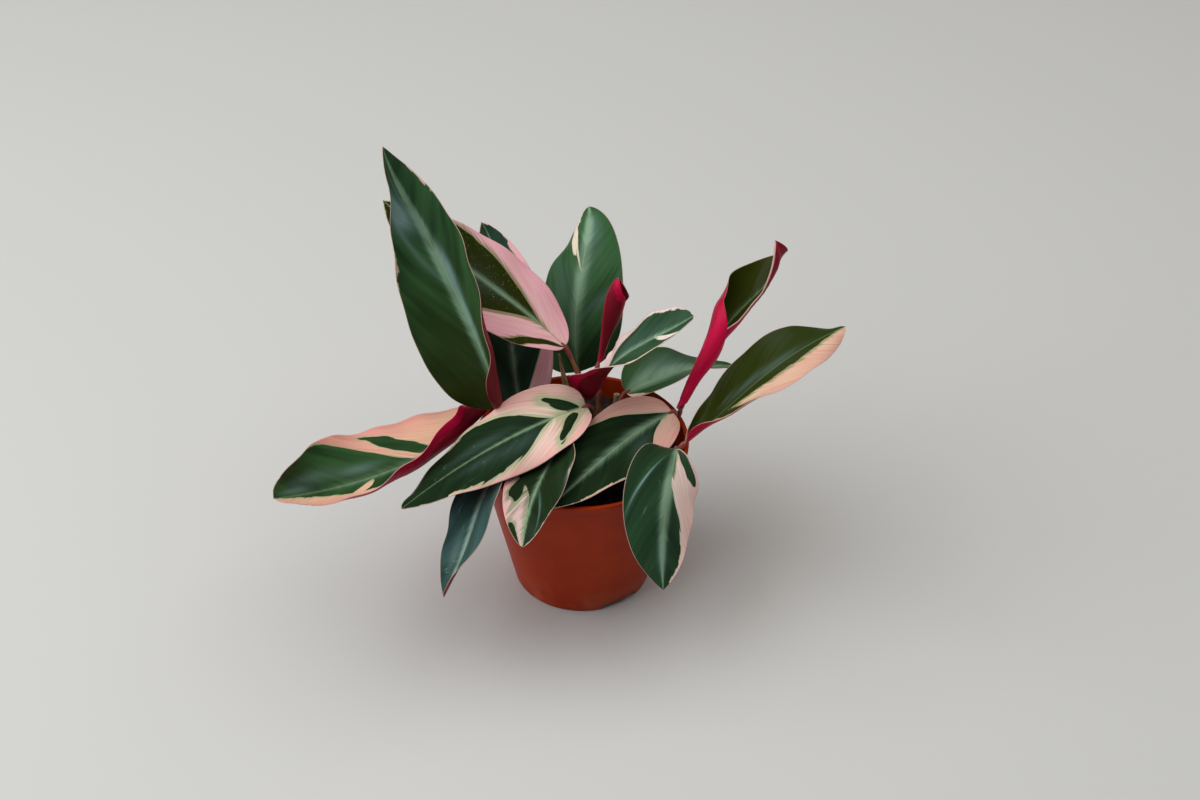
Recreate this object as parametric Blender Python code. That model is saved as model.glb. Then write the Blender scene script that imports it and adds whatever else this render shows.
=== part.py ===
"""Potted stromanthe: a small variegated foliage plant in a 12 cm nursery pot.

Every length below is in millimetres and is turned into metres with MM when a mesh is made.
The origin is the middle of the pot's underside, on the surface it stands on; +Z is up.
"""
import math

import bmesh
import bpy
import numpy as np
from mathutils import Matrix

MM = 0.001

# ---- pot: a thin tapered shell with a rim lip, a foot ring and a recessed drain channel ----
POT_HEIGHT = 95.0
RIM_RADIUS = 60.0
LIP_HEIGHT = 3.2
LIP_PROUD = 1.0
BASE_RADIUS = 39.2
WALL = 1.4
FOOT_WIDTH = 3.4
CHANNEL_HEIGHT = 3.6
PAD_RADIUS = 20.0
CHANNEL_SLOPE = 3.0
NOTCH_WIDTH = 22.0
NOTCH_HEIGHT = 3.2
NOTCH_COUNT = 2
NOTCH_HEADING = -56.0
DRAIN_RADIUS = 3.0
DRAIN_COUNT = 8
POT_SIDES = 56

# ---- soil: fills the pot to a level below the rim ----
SOIL_LEVEL = 85.0
SOIL_EDGE_DROP = 1.2
SOIL_SHOULDER = 8.0
GAP = 0.3
SOIL_SIDES = 40

# ---- leaves ----
BLADE_THICKNESS = 0.7
BLADE_ROWS = 16
BLADE_COLUMNS = 4
ROLLED_COLUMNS = 8
ROLLED_CURL = 100
TIP_FRACTION = 0.014
ROLL_FADE = 0.35
LOBE_SHARE = 0.16
STEM_SIDES_RESOLUTION = 1
STEM_POINTS = 8
STEM_END = 1.0
STEM_END_GAP = 0.8
STEM_UPRIGHT = 0.7
STEM_FOOT_RADIUS = 2.2
STEM_TOP_RADIUS = 1.2

# Each blade starts at base and follows its midrib. Three-part values hold at the base, the middle
# and the tip. heading turns from +X towards +Y and rise is the angle above level, in degrees.
# roll turns the blade about its midrib. fold lifts both halves from the midrib, and curl bends
# each half over its width, at three or five even stations; beyond 90 degrees it rolls over and
# shows its underside. halves widens or narrows the left and the right half, and lobes moves a
# half's margin back past the base. foot is where the stem leaves the soil, and stem_gap keeps the
# stem's end clear of a lobe.
LEAVES = {
    "leaf_tall_left": dict(
        base=(-45, 4, 112), heading=(155, 132, 183), rise=(85, 49, 82), roll=(-92, -44, -29),
        fold=16, curl_left=(15, 22, 41), curl_right=(112, 68, 54, 40, -34),
        length=162, width=62, outline=(0.35, 0.80), halves=(1.02, 0.93), lobes=(0, -0.6), foot=(-22, 4)),
    "leaf_back_left": dict(
        base=(-9, 32, 135), heading=(155, 164, 140), rise=(38, 34, 25), roll=(-5, -25, -20),
        fold=4, curl_left=(10, -21, 0), curl_right=(-1, -14, -9),
        length=130, width=50, outline=(0.54, 0.85), foot=(0, 24)),
    "leaf_rear_left": dict(
        base=(-34, 25, 94), heading=(116, 100, 130), rise=(62, 45, 39), roll=(-1, 1, -4),
        fold=10, curl_left=(60, 10, -1), curl_right=(1, -1, 2),
        length=113, width=47, outline=(0.42, 0.79), foot=(-26, 22)),
    "leaf_back_centre": dict(
        base=(-2, 54, 101), heading=(120, 74, 97), rise=(71, 59, 17), roll=(-14, -12, -17),
        fold=-11, curl_left=(0, -10, -50), curl_right=(19, -12, -13),
        length=100, width=54, outline=(0.39, 0.64), foot=(0, 45)),
    "leaf_furled": dict(
        base=(9, 41, 115), heading=(69, 53, -12), rise=(50, 83, 49), roll=(127, 157, 148),
        fold=22, curl_left=(151, 122, 100), curl_right=(110, 109, 99),
        length=57, width=30, outline=(0.44, 0.60), halves=(0.91, 1.12), foot=(10, 36)),
    "leaf_small_right": dict(
        base=(10, 12, 119), heading=(8, -2, 9), rise=(81, 38, 36), roll=(-49, 4, 6),
        fold=14, curl_left=(44, -10, -32, -21, 25), curl_right=(197, 35, 6, 31, 22),
        length=74, width=42, outline=(0.25, 0.49), halves=(1.02, 1.05), lobes=(-0.6, 1.05), stem_gap=2.4,
        foot=(11, 7)),
    "leaf_low_right": dict(
        base=(25, 33, 102), heading=(25, 37, 13), rise=(20, -14, -7), roll=(17, -16, -5),
        fold=13, curl_left=(2, 36, -33), curl_right=(19, 8, 0),
        length=77, width=42, outline=(0.47, 0.74), foot=(18, 24)),
    "leaf_rolled_right": dict(
        base=(55.6, 17.6, 101.2), heading=(37, 58, -51), rise=(71, 8, 127), roll=(25, 19, -17),
        fold=0, curl_left=(250, 262, 136, 73, -40), curl_right=(200, 230, 124, 86, 37),
        length=131, width=44, outline=(0.66, 0.80), halves=(1.12, 0.6), foot=(44, 20)),
    "leaf_far_right": dict(
        base=(56, -17, 105), heading=(19, 2, 25), rise=(34, 47, 9), roll=(-40, 11, -10),
        fold=-7, curl_left=(161, 53, 27, 19, -48), curl_right=(115, 64, 56, 15, -52),
        length=112, width=43, outline=(0.76, 0.68), halves=(1.05, 0.95), foot=(47, -2)),
    "leaf_hanging_right": dict(
        base=(52, -24, 107.5), heading=(-92, -101, -78), rise=(42, -45, -68), roll=(-2, -33, 13),
        fold=-12, curl_left=(-26, -22, -5), curl_right=(24, -17, 0),
        length=93, width=47, outline=(0.64, 0.83), foot=(38, -16)),
    "leaf_over_soil": dict(
        base=(51, 13.4, 103.5), heading=(222, 230, 225), rise=(7, -4, -13), roll=(-20, -1, -5),
        fold=6, curl_left=(15, -9, 1), curl_right=(29, 3, 0),
        length=102, width=46, outline=(0.52, 0.76), foot=(38, 1)),
    "leaf_front_left": dict(
        base=(3, 4, 115), heading=(216, 216, 222), rise=(8, -7, -14), roll=(-33, -9, 5),
        fold=0, curl_left=(47, -31, -3), curl_right=(44, -17, -44),
        length=123, width=44, outline=(0.41, 0.71), foot=(2, 3)),
    "leaf_front_short": dict(
        base=(-8, -11, 106), heading=(244, 254, 265), rise=(-13, -3, -31), roll=(20, 9, 6),
        fold=8, curl_left=(27, 11, 1), curl_right=(0, 7, 0),
        length=82, width=36, outline=(0.57, 0.73), foot=(-6, -4)),
    "leaf_hanging_left": dict(
        base=(-40, -26, 97), heading=(225, 250, 192), rise=(2, -34, -67), roll=(2, 32, -1),
        fold=18, curl_left=(31, -10, 51), curl_right=(9, -15, 27),
        length=86, width=35, outline=(0.51, 0.71), foot=(-20, -14)),
    "leaf_far_left": dict(
        base=(-52, 19.5, 103), heading=(242, 215, 227), rise=(-6, 2, 28), roll=(19, -18, -23),
        fold=18, curl_left=(213, 114, 87, 65, 37), curl_right=(-16, -44, 52),
        length=147, width=56, outline=(0.49, 0.51), halves=(1.14, 1.12), foot=(-30, 12)),
}

# The cut stub of an old stem, and a dry sheath left standing at the back.
STUB = dict(foot=(19, 33), top=(20, 37, 98), radius=1.7)
SHEATH = dict(foot=(-7, 38), top=(-13, 50, 117), radius=1.6)

COLOURS = {
    "pot": ((0.62, 0.13, 0.055), 0.5),
    "soil": ((0.02, 0.017, 0.014), 0.95),
    "leaf": ((0.045, 0.12, 0.05), 0.38),
    "furled": ((0.22, 0.01, 0.045), 0.35),
    "stem": ((0.30, 0.07, 0.05), 0.45),
    "dry": ((0.30, 0.22, 0.11), 0.7),
}


def clear_scene():
    for item in list(bpy.data.objects):
        bpy.data.objects.remove(item, do_unlink=True)


def make_material(name):
    colour, roughness = COLOURS[name]
    material = bpy.data.materials.new(name)
    material.use_nodes = True
    shader = material.node_tree.nodes["Principled BSDF"]
    shader.inputs["Base Color"].default_value = (*colour, 1.0)
    shader.inputs["Roughness"].default_value = roughness
    shader.inputs["Metallic"].default_value = 0.0
    return material


def add_object(name, data, material):
    item = bpy.data.objects.new(name, data)
    bpy.context.collection.objects.link(item)
    if material is not None:
        data.materials.append(material)
    return item


def mesh_object(name, points, edges, faces, material):
    mesh = bpy.data.meshes.new(name)
    mesh.from_pydata([tuple(p) for p in np.asarray(points, float) * MM], edges, faces)
    mesh.update()
    return add_object(name, mesh, material)


def turned(name, profile, sides, material):
    """Turn a profile of (radius, height) points about Z; it runs down the outer side."""
    points = [(radius, 0.0, height) for radius, height in profile]
    edges = [(i, i + 1) for i in range(len(points) - 1)]
    item = mesh_object(name, points, edges, [], material)
    screw = item.modifiers.new("turn", "SCREW")
    screw.axis = "Z"
    screw.steps = sides
    screw.render_steps = sides
    screw.use_merge_vertices = True
    screw.merge_threshold = 0.00005
    screw.use_smooth_shade = True
    return item


def wall_radius(height):
    """Outer radius of the tapered wall at a height."""
    top = RIM_RADIUS - LIP_PROUD
    return BASE_RADIUS + (top - BASE_RADIUS) * height / POT_HEIGHT


def cut(item, cutter):
    cutter.hide_render = True
    cutter.display_type = "WIRE"
    boolean = item.modifiers.new(cutter.name, "BOOLEAN")
    boolean.operation = "DIFFERENCE"
    boolean.solver = "EXACT"
    boolean.object = cutter


def cutter_object(name, count, first_heading, radius, shape):
    """Copies of a small solid spaced evenly around Z at a radius."""
    form = bmesh.new()
    for index in range(count):
        heading = math.radians(first_heading) + math.tau * index / count
        place = Matrix.Rotation(heading, 4, "Z") @ Matrix.Translation((radius * MM, 0.0, 0.0))
        shape(form, place)
    mesh = bpy.data.meshes.new(name)
    form.to_mesh(mesh)
    form.free()
    return add_object(name, mesh, None)


def drain_hole(form, place):
    bmesh.ops.create_cone(
        form, cap_ends=True, segments=12, radius1=DRAIN_RADIUS * MM, radius2=DRAIN_RADIUS * MM,
        depth=4 * CHANNEL_HEIGHT * MM, matrix=place)


def foot_notch(form, place):
    size = Matrix.Diagonal((3 * FOOT_WIDTH * MM, NOTCH_WIDTH * MM, 2 * NOTCH_HEIGHT * MM, 1.0))
    bmesh.ops.create_cube(form, size=1.0, matrix=place @ size)


def make_pot(material):
    inner_rim = RIM_RADIUS - LIP_PROUD - WALL
    floor = CHANNEL_HEIGHT + WALL
    channel_inner = PAD_RADIUS + CHANNEL_SLOPE
    channel_outer = BASE_RADIUS - FOOT_WIDTH
    lip_foot = POT_HEIGHT - LIP_HEIGHT
    edge = 0.5
    profile = [
        (0.0, WALL), (PAD_RADIUS - 1.0, WALL),
        (channel_inner - 1.0, floor), (wall_radius(floor) - WALL, floor),
        (inner_rim, POT_HEIGHT - edge), (inner_rim + edge, POT_HEIGHT),
        (RIM_RADIUS - edge, POT_HEIGHT), (RIM_RADIUS, POT_HEIGHT - edge),
        (RIM_RADIUS - 0.1, lip_foot + edge), (wall_radius(lip_foot), lip_foot),
        (wall_radius(edge), edge), (BASE_RADIUS - edge, 0.0),
        (channel_outer, 0.0), (channel_outer - 0.4, CHANNEL_HEIGHT),
        (channel_inner, CHANNEL_HEIGHT), (PAD_RADIUS, 0.0), (0.0, 0.0),
    ]
    pot = turned("pot", profile, POT_SIDES, material)
    middle = (channel_inner + channel_outer) / 2
    cut(pot, cutter_object("drain_cutter", DRAIN_COUNT, NOTCH_HEADING, middle, drain_hole))
    foot_middle = BASE_RADIUS - FOOT_WIDTH / 2
    cut(pot, cutter_object("notch_cutter", NOTCH_COUNT, NOTCH_HEADING, foot_middle, foot_notch))
    return pot


def make_soil(material):
    floor = CHANNEL_HEIGHT + WALL + GAP
    edge_height = SOIL_LEVEL - SOIL_EDGE_DROP
    outer = wall_radius(edge_height) - WALL - 2 * GAP
    profile = [
        (0.0, SOIL_LEVEL), (outer - SOIL_SHOULDER, SOIL_LEVEL), (outer, edge_height),
        (wall_radius(floor) - WALL - 2 * GAP, floor), (PAD_RADIUS + CHANNEL_SLOPE - 1.0, floor),
        (PAD_RADIUS - 1.0 - GAP, WALL + GAP), (0.0, WALL + GAP),
    ]
    return turned("soil", profile, SOIL_SIDES, material)


def along(values, at):
    """A quadratic through values at the base, the middle and the tip."""
    base, middle, tip = values
    return base * (1 - at) * (1 - 2 * at) + middle * 4 * at * (1 - at) + tip * at * (2 * at - 1)


def eased(values, at):
    """Smooth steps through evenly spaced values from the base to the tip."""
    values = np.asarray(values, float)
    place = np.clip(at, 0, 1) * (len(values) - 1)
    index = np.minimum(place.astype(int), len(values) - 2)
    step = place - index
    step = step * step * (3 - 2 * step)
    return values[index] * (1 - step) + values[index + 1] * step


def midrib_frame(leaf, at):
    """Direction of travel, sideways to the left, and the upper side's normal, for each row."""
    heading = np.radians(along(leaf["heading"], at))
    rise = np.radians(along(leaf["rise"], at))
    roll = np.radians(along(leaf["roll"], at))[:, None]
    level = np.cos(rise)
    forward = np.stack([level * np.cos(heading), level * np.sin(heading), np.sin(rise)], 1)
    side = np.stack([-np.sin(heading), np.cos(heading), 0 * heading], 1)
    upper = np.cross(forward, side)
    left = side * np.cos(roll) + upper * np.sin(roll)
    normal = upper * np.cos(roll) - side * np.sin(roll)
    return forward, left, normal


def half_width(leaf, at):
    """A pointed oval: the distance from the midrib to the margin."""
    round_end, pointed_end = leaf["outline"]
    widest = round_end / (round_end + pointed_end)
    peak = widest ** round_end * (1 - widest) ** pointed_end
    shape = at ** round_end * (1 - at) ** pointed_end / peak
    return leaf["width"] / 2 * np.maximum(shape, TIP_FRACTION)


def blade_grid(leaf, rows, columns):
    """Rows from base to tip; columns from the left margin over the midrib to the right margin."""
    at = np.linspace(0, 1, rows + 1)
    fine = 8
    step_ends = np.linspace(0, 1, rows * fine + 1)
    steps = midrib_frame(leaf, (step_ends[1:] + step_ends[:-1]) / 2)[0]
    path = np.vstack([np.zeros(3), np.cumsum(steps, 0) * leaf["length"] / (rows * fine)])
    centre = np.asarray(leaf["base"], float) + path[::fine]
    forward, left, normal = midrib_frame(leaf, at)
    width = half_width(leaf, at)
    fade = np.minimum(1, width / (leaf["width"] / 2) / ROLL_FADE)
    near_base = np.exp(-(at / LOBE_SHARE) ** 2)
    curls = (leaf["curl_left"], leaf["curl_right"])
    shares = leaf.get("halves", (1, 1))
    lobes = leaf.get("lobes", (0, 0))
    halves = []
    for sign, curl, share, lobe in zip((1, -1), curls, shares, lobes):
        turn = np.radians(eased(curl, at)) * fade
        middles = (np.arange(columns * fine) + 0.5) / (columns * fine)
        angle = math.radians(leaf["fold"]) + turn[:, None] * middles[None]
        scale = share * width[:, None] / (columns * fine)
        across = np.cumsum(np.cos(angle), 1)[:, fine - 1::fine] * scale
        above = np.cumsum(np.sin(angle), 1)[:, fine - 1::fine] * scale
        behind = np.arange(fine, columns * fine + 1, fine) * scale * lobe * near_base[:, None]
        halves.append(centre[:, None] + sign * left[:, None] * across[..., None]
                      + normal[:, None] * above[..., None] - forward[:, None] * behind[..., None])
    return np.concatenate([halves[0][:, ::-1], centre[:, None], halves[1]], 1)


def make_blade(name, leaf, material):
    rolled = max(leaf["curl_left"] + leaf["curl_right"]) > ROLLED_CURL
    columns = ROLLED_COLUMNS if rolled else BLADE_COLUMNS
    grid = blade_grid(leaf, BLADE_ROWS, columns)
    count = grid.shape[1]
    faces = []
    for row in range(BLADE_ROWS):
        for column in range(count - 1):
            corner = row * count + column
            faces.append((corner, corner + 1, corner + count + 1, corner + count))
    blade = mesh_object(name, grid.reshape(-1, 3), [], faces, material)
    blade.data.shade_smooth()
    wall = blade.modifiers.new("thickness", "SOLIDIFY")
    wall.thickness = BLADE_THICKNESS * MM
    wall.offset = 0.0
    wall.use_rim = True
    return blade


def stem_path(start, lean, end, arrive):
    """A straight end at each side of one cubic curve, from start along lean to end along arrive."""
    first = start + lean * STEM_END
    last = end - arrive * STEM_END
    reach = np.linalg.norm(last - first) * 0.38
    at = np.linspace(0, 1, STEM_POINTS - 2)[:, None]
    curve = (first * (1 - at) ** 3 + (first + lean * reach) * 3 * at * (1 - at) ** 2
             + (last - arrive * reach) * 3 * at ** 2 * (1 - at) + last * at ** 3)
    return np.vstack([start, curve, end])


def stem_object(name, start, lean, end, arrive, radii, material):
    """A tapering stem with round ends cut square."""
    path = stem_path(*(np.asarray(v, float) for v in (start, lean, end, arrive)))
    curve = bpy.data.curves.new(name, "CURVE")
    curve.dimensions = "3D"
    curve.bevel_depth = MM
    curve.bevel_resolution = STEM_SIDES_RESOLUTION
    curve.use_fill_caps = True
    spline = curve.splines.new("POLY")
    spline.points.add(STEM_POINTS - 1)
    for index, point in enumerate(path):
        share = index / (STEM_POINTS - 1)
        spline.points[index].co = (*(point * MM), 1.0)
        spline.points[index].radius = radii[0] * (1 - share) + radii[1] * share
    spline.use_smooth = True
    return add_object(name, curve, material)


def make_stem(name, leaf, material):
    forward = midrib_frame(leaf, np.array([0.0]))[0][0]
    foot = (*leaf["foot"], SOIL_LEVEL + GAP)
    end = np.asarray(leaf["base"], float) - forward * leaf.get("stem_gap", STEM_END_GAP)
    arrive = forward + np.array((0.0, 0.0, STEM_UPRIGHT))
    arrive /= np.linalg.norm(arrive)
    radii = (STEM_FOOT_RADIUS, STEM_TOP_RADIUS)
    return stem_object(name, foot, (0.0, 0.0, 1.0), end, arrive, radii, material)


def main():
    clear_scene()
    materials = {name: make_material(name) for name in COLOURS}
    make_pot(materials["pot"])
    make_soil(materials["soil"])
    for name, leaf in LEAVES.items():
        make_blade(name, leaf, materials["furled" if name == "leaf_furled" else "leaf"])
        make_stem(name.replace("leaf", "stem"), leaf, materials["stem"])
    for name, piece, finish in (("stem_cut_stub", STUB, "stem"), ("stem_dry_sheath", SHEATH, "dry")):
        foot = (*piece["foot"], SOIL_LEVEL + GAP)
        rise = np.asarray(piece["top"], float) - np.asarray(foot)
        rise /= np.linalg.norm(rise)
        radii = (piece["radius"], piece["radius"])
        stem_object(name, foot, (0.0, 0.0, 1.0), piece["top"], rise, radii, materials[finish])


main()
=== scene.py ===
import math

import bpy
import numpy as np
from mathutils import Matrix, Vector


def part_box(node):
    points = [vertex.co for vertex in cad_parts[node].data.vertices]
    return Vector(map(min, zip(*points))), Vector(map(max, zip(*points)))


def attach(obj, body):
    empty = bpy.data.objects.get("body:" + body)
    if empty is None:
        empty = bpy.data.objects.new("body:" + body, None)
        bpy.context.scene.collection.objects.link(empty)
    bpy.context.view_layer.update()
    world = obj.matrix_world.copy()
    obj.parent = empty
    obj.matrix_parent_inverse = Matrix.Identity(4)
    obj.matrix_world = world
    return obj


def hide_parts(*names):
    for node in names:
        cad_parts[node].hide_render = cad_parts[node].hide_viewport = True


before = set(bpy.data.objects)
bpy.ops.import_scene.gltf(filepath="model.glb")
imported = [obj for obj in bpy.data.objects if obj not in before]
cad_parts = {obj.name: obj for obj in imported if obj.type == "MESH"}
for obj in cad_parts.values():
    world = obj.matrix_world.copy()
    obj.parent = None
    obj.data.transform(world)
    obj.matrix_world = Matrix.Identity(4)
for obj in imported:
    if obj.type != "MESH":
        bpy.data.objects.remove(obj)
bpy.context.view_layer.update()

mm = 0.001  # sizes of the pot, leaves and stems are in millimetres, meshes in metres
fullTurn = math.tau


# Metres and degrees. The view looks along +Y, lookDown below level.
viewSettings = dict(target=(0.0104, 0.0, 0.1222), distance=1.042, lookDown=37.55, lens=57.0, sensor=36.0,
                    nearest=0.01)

lightSettings = dict(
    skyColour=(0.92, 0.96, 1.0), skyStrength=0.17, aim=(0.0, 0.0, 0.1),
    softboxes=[  # place, size, power, colour, seen in glossy surfaces
        ((-1.55, -0.4, 1.4), 2.4, 42.0, (0.92, 0.97, 1.0), True),
        ((0.2, 0.2, 2.1), 3.0, 34.0, (1.0, 0.99, 0.97), False)])

floorSettings = dict(size=9.0, drop=0.0002, colour=(0.56, 0.545, 0.52), roughness=0.9)


def pointAt(item, place, aim):  # turns an object's -Z axis towards aim
    item.location = place
    item.rotation_euler = (Vector(aim) - Vector(place)).to_track_quat("-Z", "Y").to_euler()


def addObject(name, data):
    item = bpy.data.objects.new(name, data)
    bpy.context.collection.objects.link(item)
    return item


def makeView():
    tilt = math.radians(viewSettings["lookDown"])
    away = np.array((0.0, -math.cos(tilt), math.sin(tilt))) * viewSettings["distance"]
    camera = addObject("mainView", bpy.data.cameras.new("mainView"))
    camera.data.lens = viewSettings["lens"]
    camera.data.sensor_width = viewSettings["sensor"]
    camera.data.clip_start = viewSettings["nearest"]
    pointAt(camera, np.array(viewSettings["target"]) + away, viewSettings["target"])
    bpy.context.scene.camera = camera
    bpy.context.scene.view_settings.view_transform = "Standard"


def makeLight():
    world = bpy.data.worlds.new("softSky")
    bpy.context.scene.world = world
    world.use_nodes = True
    sky = world.node_tree.nodes["Background"]
    sky.inputs["Color"].default_value = (*lightSettings["skyColour"], 1.0)
    sky.inputs["Strength"].default_value = lightSettings["skyStrength"]
    for place, size, power, colour, mirrored in lightSettings["softboxes"]:
        lamp = bpy.data.lights.new("softbox", "AREA")
        lamp.shape = "DISK"
        lamp.size = size
        lamp.energy = power
        lamp.color = colour
        softbox = addObject("softbox", lamp)
        pointAt(softbox, place, lightSettings["aim"])
        softbox.visible_glossy = mirrored


def makeFloor():  # one square, a hair below the pot
    half, drop = floorSettings["size"] / 2, floorSettings["drop"]
    corners = [(-half, -half, -drop), (half, -half, -drop), (half, half, -drop), (-half, half, -drop)]
    mesh = bpy.data.meshes.new("floor")
    mesh.from_pydata(corners, [], [(0, 1, 2, 3)])
    material, _, shader = newMaterial("paleFloor")
    shader.inputs["Base Color"].default_value = (*floorSettings["colour"], 1.0)
    shader.inputs["Roughness"].default_value = floorSettings["roughness"]
    mesh.materials.append(material)
    addObject("floor", mesh)


def meshPiece(name, points, faces, materials):
    # one object at the origin; points in millimetres, faces as lists of point numbers
    mesh = bpy.data.meshes.new(name)
    mesh.from_pydata((np.asarray(points, float) * mm).tolist(), [], faces)
    for material in materials:
        mesh.materials.append(material)
    mesh.shade_smooth()
    mesh.update()
    piece = addObject(name, mesh)
    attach(piece, "root")
    return piece


def gridFaces(rows, columns):
    # quads of a grid of points: (row, column), its right neighbour, and the same two a row on
    corner = (np.arange(rows - 1)[:, None] * columns + np.arange(columns - 1)[None]).ravel()
    return np.stack([corner, corner + 1, corner + columns + 1, corner + columns], 1)


def closedSheet(upper, lower):
    # two grids of points back to back, joined by a strip of quads around their rim
    rows, columns = upper.shape[:2]
    total = rows * columns
    top = gridFaces(rows, columns)
    number = np.arange(total).reshape(rows, columns)
    rim = np.concatenate([number[0, :-1], number[:-1, -1], number[-1, :0:-1], number[:0:-1, 0]])
    after = np.roll(rim, -1)
    strip = np.stack([after, rim, rim + total, after + total], 1)
    points = np.concatenate([upper.reshape(-1, 3), lower.reshape(-1, 3)])
    return points, np.concatenate([top, top[:, ::-1] + total, strip]), len(top)


def closedRings(rings, startPole, endPole):
    # rings (count, sides, 3) joined by quads, and closed by a fan of triangles to a point at each end
    count, sides = rings.shape[:2]
    here = np.arange(sides)
    after = (here + 1) % sides
    row = np.arange(count - 1)[:, None] * sides
    quads = np.stack([row + here, row + after, row + sides + after, row + sides + here], -1).reshape(-1, 4)
    start, end, last = count * sides, count * sides + 1, (count - 1) * sides
    startFan = np.stack([start + 0 * here, after, here], 1)
    endFan = np.stack([end + 0 * here, last + here, last + after], 1)
    points = np.vstack([rings.reshape(-1, 3), startPole, endPole])
    return points, quads.tolist() + startFan.tolist() + endFan.tolist()


def fullCircle(sides):  # the headings of evenly spaced sides
    return np.linspace(0, fullTurn, sides, endpoint=False)


def aroundZ(radius, turn, height):  # points at these radii, headings and heights
    return np.stack([radius * np.cos(turn), radius * np.sin(turn), height + 0 * turn], -1)


def setFloat(mesh, name, values):
    attribute = mesh.attributes.new(name, "FLOAT", "POINT")
    attribute.data.foreach_set("value", np.ascontiguousarray(values, np.float32).ravel())


def setColour(mesh, name, values):
    attribute = mesh.attributes.new(name, "FLOAT_COLOR", "POINT")
    colours = np.ones((len(mesh.vertices), 4), np.float32)
    colours[:, :3] = values
    attribute.data.foreach_set("color", colours.ravel())


def setUv(mesh, name, perPoint):
    layer = mesh.uv_layers.new(name=name)
    corners = np.empty(len(mesh.loops), np.int32)
    mesh.loops.foreach_get("vertex_index", corners)
    layer.data.foreach_set("uv", np.ascontiguousarray(perPoint[corners], np.float32).ravel())


def smoothStep(share):  # from 0 to 1 with level ends
    return share * share * (3 - 2 * share)


def blend(first, second, share):
    return first * (1 - share) + second * share


def bell(distance, width):  # 1 at distance 0, falling smoothly to 0 past the width
    return np.exp(-(distance / width) ** 2)


def unit(vectors):
    return vectors / np.linalg.norm(vectors, axis=-1, keepdims=True)


def valueNoise(x, y, cell, seed):
    # random heights from 0 to 1 on a square lattice of this cell, joined by smooth steps
    size, shift = 97, 40  # cells before it repeats, and how far 0, 0 lies from its first cell
    table = np.random.default_rng(seed).random((size, size))
    gridX, gridY = x / cell + shift, y / cell + shift
    column, row = np.floor(gridX).astype(int), np.floor(gridY).astype(int)
    shareX, shareY = smoothStep(gridX - column), smoothStep(gridY - row)
    left, right = column % size, (column + 1) % size
    near = blend(table[left, row % size], table[right, row % size], shareX)
    far = blend(table[left, (row + 1) % size], table[right, (row + 1) % size], shareX)
    return blend(near, far, shareY)


class NodeMaker:  # adds nodes to one tree; its calls return the new node's output
    def __init__(self, tree):
        self.tree = tree

    def feed(self, socket, value):  # links a socket, or sets the socket's own value
        if isinstance(value, bpy.types.NodeSocket):
            self.tree.links.new(value, socket)
        elif socket.type == "RGBA":
            socket.default_value = (*value, 1.0)
        else:
            socket.default_value = value

    def node(self, kind, inputs, output=0, **settings):
        made = self.tree.nodes.new("ShaderNode" + kind)
        for name, value in settings.items():
            setattr(made, name, value)
        for label, value in inputs.items():
            self.feed(made.inputs[label], value)
        return made.outputs[output]

    def calc(self, operation, *values):
        return self.node("Math", dict(enumerate(values)), operation=operation)

    def times(self, first, second):
        return self.calc("MULTIPLY", first, second)

    def timesPlus(self, first, second, third):  # first * second + third
        return self.calc("MULTIPLY_ADD", first, second, third)

    def offMiddle(self, value):  # a mask of 0 to 1 as -0.5 to 0.5
        return self.calc("SUBTRACT", value, 0.5)

    def capped(self, value):
        return self.calc("MINIMUM", value, 1.0)

    def ramp(self, value, low, high, lowOut=0.0, highOut=1.0):  # a smooth step between two values
        names = ("Value", "From Min", "From Max", "To Min", "To Max")
        return self.node("MapRange", dict(zip(names, (value, low, high, lowOut, highOut))), "Result",
                         interpolation_type="SMOOTHSTEP")

    def mix(self, share, first, second, mode="MIX"):  # colours
        return self.node("Mix", {0: share, 6: first, 7: second}, 2, data_type="RGBA", blend_type=mode)

    def noise(self, vector, scale=1.0, detail=2.0, roughness=0.5):
        inputs = dict(Vector=vector, Scale=scale, Detail=detail, Roughness=roughness)
        return self.node("TexNoise", inputs, "Fac")

    def stretch(self, vector, scales, shift=(0.0, 0.0, 0.0)):
        return self.node("Mapping", dict(Vector=vector, Scale=scales, Location=shift), "Vector")

    def split(self, vector, axis):
        return self.node("SeparateXYZ", dict(Vector=vector), axis)

    def readFloat(self, name):
        return self.node("Attribute", {}, "Fac", attribute_name=name)

    def readColour(self, name):
        return self.node("Attribute", {}, "Color", attribute_name=name)

    def readUv(self, name):
        return self.node("UVMap", {}, "UV", uv_map=name)

    def place(self):
        return self.node("TexCoord", {}, "Object")

    def useGroup(self, group, values):
        node = self.tree.nodes.new("ShaderNodeGroup")
        node.node_tree = group
        for label, value in values.items():
            self.feed(node.inputs[label], value)
        return node.outputs


def newMaterial(name):
    material = bpy.data.materials.new(name)
    material.use_nodes = True
    tree = material.node_tree
    return material, NodeMaker(tree), tree.nodes["Principled BSDF"]


def newGroup(name, inputs, outputs):
    # inputs holds each value's default, or None where it is a vector
    tree = bpy.data.node_groups.new(name, "ShaderNodeTree")
    for label, value in inputs.items():
        kind = "NodeSocketVector" if value is None else "NodeSocketFloat"
        socket = tree.interface.new_socket(name=label, in_out="INPUT", socket_type=kind)
        if value is not None:
            socket.default_value = value
    for label in outputs:
        tree.interface.new_socket(name=label, in_out="OUTPUT", socket_type="NodeSocketFloat")
    made = tree.nodes.new("NodeGroupOutput").inputs
    return tree, NodeMaker(tree), tree.nodes.new("NodeGroupInput").outputs, made


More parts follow.
